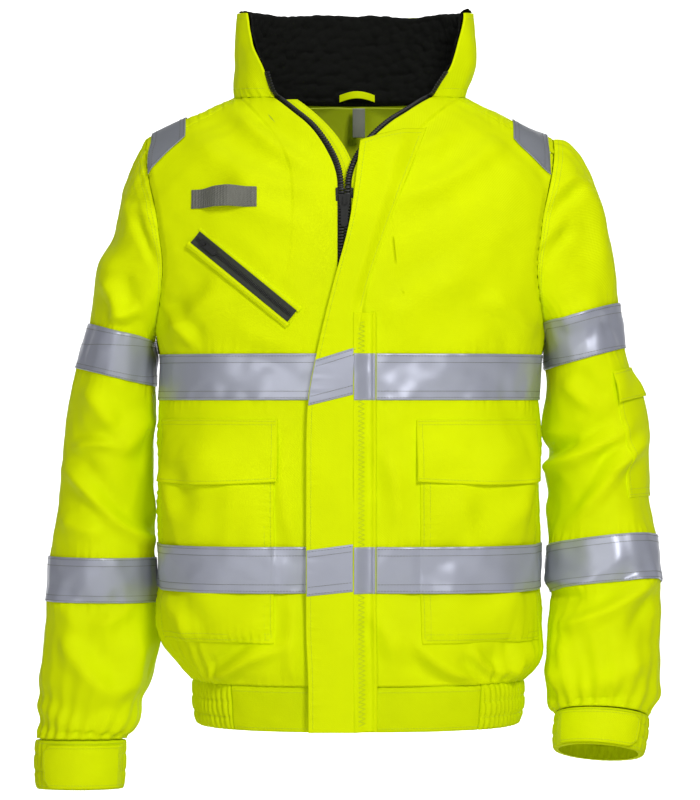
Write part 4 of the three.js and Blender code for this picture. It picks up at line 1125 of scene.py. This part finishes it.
for side, name in SIDES:
    at = dressed_levels(pocket_patch(side), body_cloth, (-0.1, 1.1))
    u, v = grid(96, 110, (0, 1), (POCKET_BOTTOM_Z, POCKET_TOP_Z))
    t = (v - POCKET_BOTTOM_Z) / (POCKET_TOP_Z - POCKET_BOTTOM_Z)
    base = at(u, v)[0]
    crease = 2.2 * fold(u * 180, t * 200, 30, 190, 70, 60, 12, 1)
    crease = crease + 2.0 * fold(u * 180, t * 200, 150, 185, 120, 70, 12, 1)
    sag = 0.7 * np.sin(9 * u + 3) * clamp01(1 - t * 3)
    slack = np.sin(PI * u) ** 0.6 * (1.4 * medium(base) + crease + sag)
    from_side, up = np.minimum(u, 1 - u) * 190, t * 204
    edge_mm = np.minimum(from_side, up)
    gathered = pucker(edge_mm - 6, np.where(up < from_side, u * 190, up), base, 0.5)
    sewn_dip = 0.7 * np.exp(-(((edge_mm - 4) / 2) ** 2))
    points, normals = at(u, v, 1.2 + pocket_bulge(u, t) + slack + gathered - sewn_dip)
    cloth_sheet(f"{name}_pocket_cloth", points, normals, shell_cloth, 1.8, "body", "shell",
                f"{name}_pocket", held="gathered")

    def on_bag(u, z, lift=0.0, at=at):
        t = (z - POCKET_BOTTOM_Z) / (POCKET_TOP_Z - POCKET_BOTTOM_Z)
        return at(u, z, 1.3 + pocket_bulge(u, t) + lift)

    for inset in (0.02, 0.055, 0.975):
        stitch_paths.append(line(on_bag, inset, (POCKET_BOTTOM_Z + 4, POCKET_TOP_Z), 0.1))
    for up in (4, 10):
        stitch_paths.append(line(on_bag, (0.02, 0.98), POCKET_BOTTOM_Z + up, 0.1))

    def flap_lift(u, z):
        t = (z - POCKET_FLAP_BOTTOM_Z) / (POCKET_FLAP_TOP_Z - POCKET_FLAP_BOTTOM_Z)
        return lerp(pocket_bulge(clamp01(u), 0.88) + 5.0, 2.4, smooth((t - 0.3) / 0.7))

    u, v = grid(90, 36, (-0.02, 1.02), (POCKET_FLAP_BOTTOM_Z, POCKET_FLAP_TOP_Z))
    base = at(u, v)[0]
    t = (v - POCKET_FLAP_BOTTOM_Z) / 58
    curl = 1.6 * medium(base) * (1 - t) + 0.5 * np.exp(-t / 0.12) + 0.25 * small(base)
    points, normals = at(u, v, flap_lift(u, v) + curl)
    points = points - place(0, 0, 3.5 * (1 - t) * np.sin(PI * clamp01(u)))
    hinge = [float(c) / 1000 for c in at(np.array(0.5), np.array(float(POCKET_FLAP_TOP_Z)))[0]]
    bend = (f"{name}_pocket_flap", hinge, [hinge[0], hinge[1], hinge[2] - 0.02])
    cloth_sheet(f"{name}_flap_cloth", points, normals, shell_cloth, 2.2, "body", "shell",
                f"{name}_pocket_flap", held="hung", bend=bend, double=True)
    rows, columns = points.shape[:2]
    flap_paths = []
    for row in (2, rows - 4, rows - 2):
        flap_paths.append((points[row] + normals[row] * 0.15, normals[row]))
    for column in (3, columns - 4):
        flap_paths.append((points[2:-2, column] + normals[2:-2, column] * 0.15, normals[2:-2, column]))
    sewn(f"{name}_flap_stitching", flap_paths, thread_yellow, "body", bend=bend)


# ---------- main zip ----------
ZIP_BOTTOM_Z = HEM_BOTTOM_Z + 10


def teeth_line(side, inset):
    """Places up the middle, along the V and up the collar's edge, with which way is outwards from the zip."""
    low_z = np.arange(ZIP_BOTTOM_Z, ZIP_TOP_Z, 1.0)
    vee_z = np.arange(ZIP_TOP_Z, NECK_FRONT_Z, 1.0)
    low = place(ZIP_X + side * inset, ZIP_FACE_Y, low_z)
    x = teeth_x(side, vee_z) + side * inset
    vee = place(x, body_y(x, vee_z, -1), vee_z)
    stand = cloth_low(vee) * smooth((vee_z - ZIP_TOP_Z) / 30)
    out = unit(place(0.15 * x / 60, -1, smooth((vee_z + 90) / 80) * 1.3))
    vee = vee + out * (stand + 0.3)[:, None]
    h = np.linspace(0.01, COLLAR_ZIP_SHARE, 24)
    edge = collar(np.full(24, 0.0 if side < 0 else 1.0), h)
    ahead, turn = ZIP_GAP - inset + 1, COLLAR_END_ANGLE[side]
    high = edge + place(side * ahead * math.cos(turn), -ahead * math.sin(turn) - 2, 0 * h)
    return np.concatenate([low, vee, high])


for side, name in SIDES:
    middle, outside = teeth_line(side, 0.4), teeth_line(side, 7.0)
    run = np.concatenate([[0], np.cumsum(np.linalg.norm(np.diff((middle + outside) / 2, axis=0), axis=1))])
    pitch = 3.3
    stops = np.arange(0.5 if side < 0 else 0.5 + pitch / 2, run[-1], pitch)
    start, end = (np.stack([np.interp(stops, run, a[:, k]) for k in range(3)], 1) for a in (middle, outside))
    closed_part = start[:, 2] < ZIP_TOP_Z - 2
    start = start - closed_part[:, None] * place(side * 1.0, 0, 0)
    along = unit(np.gradient((start + end) / 2, axis=0))
    normal = unit(np.cross(along, end - start))
    normal *= np.sign(-normal[:, 1])[:, None]
    points, faces = capsules(start + normal * 0.2, end + normal * 0.2, normal, 1.75)
    teeth = new_object(f"zip_teeth_{name}", points, faces, acetal, np.zeros((faces.size, 2)))
    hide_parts(f"main_zip_{name}")
    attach(teeth, "body")
    near, far = teeth_line(side, 3.6), teeth_line(side, 9.5)
    t = np.linspace(0, 1, 4)[None, :, None]
    strip = near[::3, None] + (far - near)[::3, None] * t
    tangent = np.gradient(strip[:, 0], axis=0)
    facing = unit(np.cross(tangent, (far - near)[::3]))
    facing *= np.sign(-facing[:, 1])[:, None]
    facing = np.repeat(facing[:, None], 4, 1)
    piece = cloth_piece(f"zip_cloth_{name}", strip - facing * 1.3, facing, zip_tape, 0.8)
    soft(piece, "body", "zip_cloth", flat=flat_size(strip), held="stretched")

u, v = grid(24, 300)
z = lerp(HEM_BOTTOM_Z + 6, NECK_FRONT_Z - 4, v)
x = teeth_x(-1, z) + lerp(-15, 13, u)
base = place(x, body_y(x, z, -1), z)
points = base + place(0, 10.0 - 1.6 * np.sin(PI * u) ** 0.5 + 0.6 * np.sin(z / 23) * u, 0)
cloth_sheet("zip_facing_cloth", points, place(0 * u, -1, 0 * u), shell_cloth, 2.0, "body", "shell",
            "zip_facing", double=True)
for column in (-3, -9):
    stitch_paths.append((points[:, column] - place(0, 0.15, 0), place(0 * z[:, 0], -1, 0)))

# ---------- storm flap ----------
flap_free_x = through([(-700, -47), (-430, -47), (-342, -45), (-288, -35), (-218, -18), (-148, 0), (-67, 11)])
flap_sewn_x = through([
    (-700, 4), (-342, 4), (-292, 6), (-224, 18), (-162, 38), (-125, 52), (-66, 76), (-20, 92),
])
FLAP_BEND = ("storm_flap", (-0.02, -0.16, -0.24), (-0.02, -0.16, -0.40))


def flap_top_z(u):
    return lerp(-68, -46, u)


def flap_surface(u, v):
    """u runs from the free edge to the sewn one, v from the hem to the slanted top."""
    z = lerp(HEM_BOTTOM_Z + 1, flap_top_z(u), v)
    x = lerp(flap_free_x(z), flap_sewn_x(z), u)
    return place(x, lerp(ZIP_FACE_Y, body_y(x, z, -1), smooth((z + 290) / 50)), z)


def flap_cloth(p, u, v):
    z = p[..., 2]
    upper = smooth((z - FLAP_SPLIT_Z) / 40)
    down = (FLAP_LIFT + 0.4) * upper * smooth((u - 0.62) / 0.38)
    loose = 1 - smooth((u - 0.1) / 0.6)
    wave = 0.8 * medium(p) + 0.9 * np.sin(z / 31 + 1.1 * np.sin(z / 83)) * loose
    edge = pucker((u - 0.1) * 50, z, p, 0.35, 12, 8)
    top = -1.5 * np.exp(-(1 - v) / 0.006)
    return FLAP_LIFT + 2.6 - down + wave * 0.8 + edge + top + cloth_low(p) * upper * 0.9


flap_at = dressed(flap_surface, flap_cloth, body_centre, (0, 1), (0, 1), 5e-4)
points, normals = flap_at(*grid(56, 420))
cloth_sheet("storm_flap_cloth", points, normals, shell_cloth, 2.4, "body", "shell", "storm_flap",
            "storm_flap_top", bend=FLAP_BEND, double=True)
flap_paths = [line(flap_at, 0.1, (0.004, 0.992), 0.15, 900), line(flap_at, (0.06, 0.97), 0.9905, 0.15, 300)]
upper_v = np.linspace(0.70, 0.985, 300)
flap_paths.append(flap_at(np.full(300, 0.93), upper_v, 0.15))
sewn("storm_flap_stitching", flap_paths, thread_yellow, "body", bend=FLAP_BEND)


def fold_strip(u, z):
    x = lerp(FLAP_HINGE_X - 0.4, FLAP_HINGE_X + 24, u)
    return place(x, body_y(x, z, -1), z)


def fold_cloth(p, u, v):
    """The flap's sewn strip: it comes down to the front, with a rolled edge where it is turned under."""
    roll = 2.4 * np.exp(-(((u - 0.9) / 0.09) ** 2))
    return lerp(FLAP_LIFT + 2.2, 2.2, smooth(u / 0.75)) + roll + cloth_low(p) * smooth(u * 2) + 0.3 * small(p)


fold_at = dressed_levels(fold_strip, fold_cloth)
points, normals = fold_at(*grid(30, 260, (0, 1), (HEM_BOTTOM_Z + 1, FLAP_SPLIT_Z + 14)))
cloth_sheet("flap_fold_cloth", points, normals, shell_cloth, 2.0, "body", "shell", "storm_flap_seam")
zigzag = np.arange(HEM_BOTTOM_Z + 8, FLAP_SPLIT_Z + 6, 2.6)
sway = np.where(np.arange(len(zigzag)) % 2 == 0, 0.2, 0.5)
zig_points, zig_normals = fold_at(sway, zigzag, 0.25)
zig, zag = zig_points[:-1], zig_points[1:]
points, faces = capsules(zig, zag, zig_normals[:-1], 0.38)
zigzag_row = new_object("zigzag_stitching", points, faces, thread_yellow, np.zeros((faces.size, 2)))
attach(zigzag_row, "body")
for level, z_top in (("chest", CHEST_TAPE_Z), ("waist", WAIST_TAPE_Z)):
    to_v = [(z - HEM_BOTTOM_Z - 1) / (flap_top_z(0.5) - HEM_BOTTOM_Z - 1) for z in (z_top - TAPE_WIDE, z_top)]
    points, normals = flap_at(*grid(50, 26, (0.015, 0.985), tuple(to_v)), 0.9)
    cloth_sheet(f"{level}_reflector_flap", points, normals, tape_face, 0.8, "body", "tape",
                f"{level}_tape_flap", bend=FLAP_BEND)
    rows = points.shape[0]
    picked = (1, round(rows * 0.18), round(rows * 0.8), rows - 2)
    flap_rows = [(points[k] + normals[k] * 0.15, normals[k]) for k in picked]
    sewn(f"{level}_flap_tape_stitching", flap_rows, thread_grey, "body", FLAP_BEND)
    points, normals = fold_at(*grid(24, 24, (0.03, 0.97), (z_top - TAPE_WIDE, z_top)), 0.8)
    cloth_sheet(f"{level}_reflector_fold", points, normals, tape_face, 0.8, "body", "tape")

# ---------- chest pocket zip ----------
STRIP_CENTRE = np.array([-36.32, 393.66, -277.53])
STRIP_AXIS = np.array([0.63493, 0.00596, 0.77255])
STRIP_START = np.array([-167.07, -124.63, -166.06]) - STRIP_CENTRE
STRIP_ANGLE = 0.2536


def on_strip(t, sideways, lift):
    """Places on the bent strip: t along it, sideways and lift in mm, by turning its start about its axis."""
    a = np.asarray(t * STRIP_ANGLE)[..., None]
    turned = STRIP_START * np.cos(a) + np.cross(STRIP_AXIS, STRIP_START) * np.sin(a)
    turned = turned + STRIP_AXIS * (STRIP_AXIS @ STRIP_START) * (1 - np.cos(a))
    out = unit(turned)
    aside = STRIP_AXIS * np.asarray(sideways)[..., None]
    return turned + STRIP_CENTRE + aside + out * np.asarray(lift)[..., None], out


u, v = grid(20, 120)
points, normals = on_strip(v, 15.6 * (u - 0.5), 1.5 + 0.5 * np.abs(2 * u - 1) + 0 * v)
cloth_sheet("chest_zip_cloth", points, normals, zip_tape, 1.2, "body", "zip_cloth", "chest_zip")
t = np.arange(0.02, 0.985, 0.0125)
coil_from, coil_out = on_strip(t, np.full(t.shape, -2.6), np.full(t.shape, 1.9))
coil_to, _ = on_strip(t + 0.004, np.full(t.shape, 2.6), np.full(t.shape, 1.9))
points, faces = capsules(coil_from, coil_to, coil_out, 0.75)
coil = new_object("chest_zip_coil", points, faces, acetal, np.zeros((faces.size, 2)))
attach(coil, "body")
for edge, name in ((-1, "lower"), (1, "upper")):
    u, v = grid(10, 140, (0, 1), (-0.02, 1.02))
    rounded = 1.7 * np.sin(PI * lerp(0.12, 0.88, u)) ** 0.7
    points, normals = on_strip(v, edge * lerp(7.5, 14, u), rounded - 1.6 * smooth((u - 0.4) / 0.6))
    cloth_sheet(f"chest_zip_welt_{name}", points, normals, shell_cloth, 2.0, "body", "shell")
    stitch_paths.append(on_strip(np.linspace(-0.01, 1.01, 200), np.full(200, edge * 11.0), np.full(200, 1.3)))

# ---------- webbing loop on the chest ----------
def strap_surface(u, v):
    x, z = -135 + 36 * (2 * u - 1), -125 + 20 * (v - 0.5)
    return place(x, body_y(x, z, -1), z)


strap_at = dressed(strap_surface, body_cloth, body_centre, (0, 1), (0, 1), 1e-3)
u, v = grid(110, 24)
arch = 1.6 + 11.0 * smooth((0.5 - np.abs(u - 0.5)) / 0.34 - 0.3) + 0.5 * np.sin(14 * u)
points, normals = strap_at(u, v, arch)
cloth_sheet("radio_loop_webbing", points, normals, webbing, 1.4, "body", "strap", "radio_loop", double=True)
strap_paths = [line(strap_at, share, (0.06, 0.94), 1.9, 40) for share in (0.03, 0.09, 0.91, 0.97)]
sewn("radio_loop_stitching", strap_paths, thread_grey, "body")

# ---------- sleeves ----------
ROW_STOPS = np.arange(-1, 9)
ROW_LENGTHS = np.array([0, 190, 58, 70, 58, 82, 60, 47, 36, 16]).cumsum()


def sleeve_rows(count, low, high):
    """Rows from low to high that are evenly spaced down the sleeve."""
    ends = np.interp((low, high), ROW_STOPS, ROW_LENGTHS)
    return np.interp(np.linspace(*ends, max(2, round(count * FINE)) + 1), ROW_LENGTHS, ROW_STOPS)


for side, name in SIDES:
    elbow = (side * 0.278, -0.02)
    arm_bend = (f"{name}_forearm", (*elbow, -0.385), (*elbow, -0.575))
    centre = sleeve_centre(side)
    spans = ((-9, 9), (-1.06, 9))
    at = dressed(SLEEVE[side], sleeve_shell(side), centre, *spans)
    low_at = dressed(SLEEVE[side], SLEEVE_CLOTH[side], centre, *spans)
    turns = np.linspace(0, 1, max(24, round(210 * FINE)) + 1)
    tucked = np.array([-1.05, -1.03, -1.012])  # these rows all fall on the armhole ring
    u, v = np.meshgrid(turns, np.append(tucked, sleeve_rows(360, -1, CUFF_ROW - 0.06)))
    points, normals = at(u, v)
    cloth_pad(f"{name}_sleeve_cloth", points, normals, shell_cloth, 2.0, "body", "shell",
              f"{name}_upper_sleeve", f"{name}_forearm_sleeve", fill=0.35, bend=arm_bend, closed=True)

    def half_cloth(p, u, v, side=side):
        return 0.5 * SLEEVE_CLOTH[side](p, u, v)

    quilt = dressed(SLEEVE[side], half_cloth, centre, *spans)
    u, v = np.meshgrid(turns[::2] if len(turns) % 2 else turns, sleeve_rows(140, -0.9, CUFF_ROW - 0.3))
    points, normals = quilt(u, v)
    channel = 2.2 * np.abs(np.sin(PI * points[..., 2] / 58)) ** 0.6
    cloth_pad(f"{name}_sleeve_quilt", points - normals * (6.5 + channel)[..., None], -normals, lining_cloth,
              1.2, "body", "lining", f"{name}_upper_lining", f"{name}_forearm_lining", fill=0.4,
              bend=arm_bend, closed=True)

    sleeve_grey = []
    for level in ("upper", "forearm"):
        top = tape_top(side, level, turns)
        low_row, high_row = row_at(side, turns, top - TAPE_WIDE), np.maximum(row_at(side, turns, top), -0.97)
        v = lerp(low_row, high_row, np.linspace(0, 1, 24)[:, None])
        u = np.broadcast_to(turns, v.shape)
        base = SLEEVE[side](u, v)
        ripple = 0.3 * np.sin(2 * PI * u * 17 + 2 * drift(base)) + 0.3 * small(base)
        points, normals = low_at(u, v, TAPE_LIFT + 1.0 + ripple)
        cloth_sheet(f"{name}_{level}_reflector", points, normals, tape_face, 0.8, "body", "tape",
                    f"{name}_{level}_tape", bend=arm_bend, closed=True)
        for k in (1, 4, 19, 22):
            sleeve_grey.append((points[k] + normals[k] * 0.15, normals[k]))
    sewn(f"{name}_sleeve_tape_stitching", sleeve_grey, thread_grey, "body", arm_bend)
    armhole_row = [at(turns, np.full(turns.shape, r), 0.1) for r in (-0.965, -0.93)]
    sewn(f"{name}_armhole_stitching", armhole_row, thread_yellow, "body")

    # cuff: gathered round the back, plain under the tab
    def cuff_cloth(p, turn, row):
        belly = np.sin(PI * clamp01(row - CUFF_ROW)) ** 0.5
        gathered = smooth((np.abs((turn - 0.28 + 0.5) % 1 - 0.5) - 0.14) / 0.05)
        ribs = np.abs(np.sin(PI * 34 * turn + 0.8 * drift(p))) ** 0.8
        down = row - CUFF_ROW
        rows = np.exp(-(((down - 0.33) / 0.04) ** 2)) + np.exp(-(((down - 0.66) / 0.04) ** 2))
        return 1.6 * belly + gathered * (2.2 * ribs - 1.1 * rows) * (0.3 + 0.7 * belly) - 0.6 + 0.2 * small(p)

    cuff_at = dressed(SLEEVE[side], cuff_cloth, centre, *spans)
    u, v = np.meshgrid(turns, np.linspace(CUFF_ROW, CUFF_ROW + 1, max(8, round(30 * FINE))))
    points, normals = cuff_at(u, v)
    piece = cloth_piece(f"{name}_cuff_cloth", points, normals, hem_cloth, 5.0, closed=True, double=True)
    forearm = f"{name}_forearm"
    soft(piece, forearm, "shell", f"{name}_cuff", fill=0.3)
    cuff_rows = [cuff_at(turns, np.full(turns.shape, CUFF_ROW + r), 0.15) for r in (0.08, 0.33, 0.66, 0.93)]
    sewn(f"{name}_cuff_stitching", cuff_rows, thread_yellow, forearm)
    u, v = grid(90, 26, (0.44, 0.12), (CUFF_ROW + 0.12, CUFF_ROW + 0.97))
    base = SLEEVE[side](u, v)
    across_tab = (v - CUFF_ROW - 0.12) / 0.85
    nose = smooth((0.165 - u) / 0.045) * (2 * across_tab - 1)
    v = v - 0.16 * nose * np.abs(nose)
    points, normals = cuff_at(u, v, 1.2 + 2.6 * smooth((0.44 - u) / 0.04) + 0.5 * medium(base))
    start, end = (SLEEVE[side](np.array(a), np.array(8.5)) / 1000 for a in (0.435, 0.375))
    tab_bend = (f"{name}_cuff_tab", [float(c) for c in start], [float(c) for c in end])
    cloth_sheet(f"{name}_tab_cloth", points, normals, shell_cloth, 2.0, forearm, "shell",
                f"{name}_cuff_tab", bend=tab_bend, double=True)
    rows, columns = points.shape[:2]
    tab_paths = [(points[k] + normals[k] * 0.15, normals[k]) for k in (2, rows - 3)]
    tab_paths += [(points[2:-2, k] + normals[2:-2, k] * 0.15, normals[2:-2, k]) for k in (3, 9, columns - 4)]
    sewn(f"{name}_tab_stitching", tab_paths, thread_yellow, forearm, bend=tab_bend)

# ---------- pocket on the left upper sleeve ----------
arm_bend = ("left_forearm", (0.278, -0.02, -0.385), (0.278, -0.02, -0.575))
arm_at = dressed(SLEEVE[1], SLEEVE_CLOTH[1], sleeve_centre(1), (-9, 9), (-1, 9))
u, v = grid(50, 70, (-0.1, 0.17), (2.6, 0.7))
p, t = (u + 0.1) / 0.27, (2.6 - v) / 1.9
points, normals = arm_at(u, v, 1.4 + 2.6 * np.sin(PI * p) ** 0.6 * t**0.5 + 0.3 * np.sin(20 * p) * (1 - t))
cloth_sheet("arm_pocket_cloth", points, normals, shell_cloth, 1.8, "body", "shell", "arm_pocket",
            held="gathered", bend=arm_bend)
arm_paths = [(points[k] + normals[k] * 0.15, normals[k]) for k in (2, 6)]
arm_paths += [(points[2:, k] + normals[2:, k] * 0.15, normals[2:, k]) for k in (2, points.shape[1] - 3)]
sewn("arm_pocket_stitching", arm_paths, thread_yellow, "body", bend=arm_bend)
u, v = grid(50, 26, (-0.11, 0.18), (0.98, 0.42))
t = (0.98 - v) / 0.56
points, normals = arm_at(u, v, lerp(7.0, 2.8, smooth((t - 0.3) / 0.7)) + 0.8 * medium(SLEEVE[1](u, v)))
hinge = [float(c) / 1000 for c in SLEEVE[1](np.array(0.035), np.array(0.42))]
flap_bend = ("arm_pocket_flap", hinge, [hinge[0], hinge[1], hinge[2] - 0.014])
cloth_sheet("arm_flap_cloth", points, normals, shell_cloth, 1.8, "body", "shell", "arm_pocket_flap",
            held="hung", bend=flap_bend, double=True)
arm_paths = [(points[k] + normals[k] * 0.15, normals[k]) for k in (2, points.shape[0] - 3)]
sewn("arm_flap_stitching", arm_paths, thread_yellow, "body", bend=flap_bend)

sewn("body_stitching", stitch_paths, thread_yellow, "body")
sewn("body_tape_stitching", grey_paths, thread_grey, "body")

# ---------- the CAD parts that show as they are ----------
for name in ("main_zip_slider", "main_zip_puller", "chest_zip_slider", "chest_zip_puller", "zip_bottom_box"):
    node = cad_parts[name]
    node.data.materials.clear()
    node.data.materials.append(acetal if name == "zip_bottom_box" else painted)

# ---------- floor, light and camera ----------
FLOOR_Z = -0.95
u, v = np.meshgrid(np.linspace(-6, 6, 30), np.linspace(0, 1, 90))
bend_start, radius = 5.4, 1.2
run = v * 17.0 - 7.0
angle = clamp01((run - bend_start) / (radius * PI / 2)) * PI / 2
floor_y = np.where(run < bend_start, run, bend_start + radius * np.sin(angle))
rise = np.where(run < bend_start, 0, radius * (1 - np.cos(angle)))
rise = rise + np.maximum(0, run - bend_start - radius * PI / 2)
paper = plain_material("backdrop_paper", "#f4f4f3", 0.9, 3.0, 0.02)
quads, _ = quads_of(*u.shape, False)
sweep = np.stack([u, floor_y, FLOOR_Z + rise], -1).reshape(-1, 3) * 1000
backdrop = new_object("backdrop", sweep, quads, paper)

world = bpy.data.worlds.new("studio")
bpy.context.scene.world = world
world.use_nodes = True
world.node_tree.nodes["Background"].inputs["Color"].default_value = linear("#f6f8fb")
world.node_tree.nodes["Background"].inputs["Strength"].default_value = 0.16


def area_light(name, where, towards, size, watts, colour="#ffffff"):
    data = bpy.data.lights.new(name, "AREA")
    data.shape = "RECTANGLE"
    data.size, data.size_y = size
    data.energy = watts
    data.color = linear(colour)[:3]
    light = bpy.data.objects.new(name, data)
    light.location = where
    way = np.array(towards) - np.array(where)
    light.rotation_mode = "QUATERNION"
    light.rotation_quaternion = Vector(way).to_track_quat("-Z", "Y")
    bpy.context.scene.collection.objects.link(light)


area_light("key", (0.9, -3.0, 1.1), (0, 0, -0.35), (0.7, 0.7), 56)
area_light("fill", (-1.3, -3.0, 0.2), (0, 0, -0.4), (1.2, 1.2), 15)
area_light("top", (0.2, -0.4, 2.0), (0, 0, -0.2), (1.0, 0.8), 12)
area_light("backdrop_wash", (0, 1.2, 2.2), (0, 2.15, 1.85), (3.6, 0.6), 420)

camera_data = bpy.data.cameras.new("camera")
camera_data.sensor_width = 36
camera_data.lens = 161.2
camera_data.clip_end = 60
camera = bpy.data.objects.new("camera", camera_data)
camera.location = (0, -4.0, -0.342)
camera.rotation_euler = (math.radians(90), 0, 0)
bpy.context.scene.collection.objects.link(camera)
bpy.context.scene.camera = camera

bpy.context.view_layer.update()
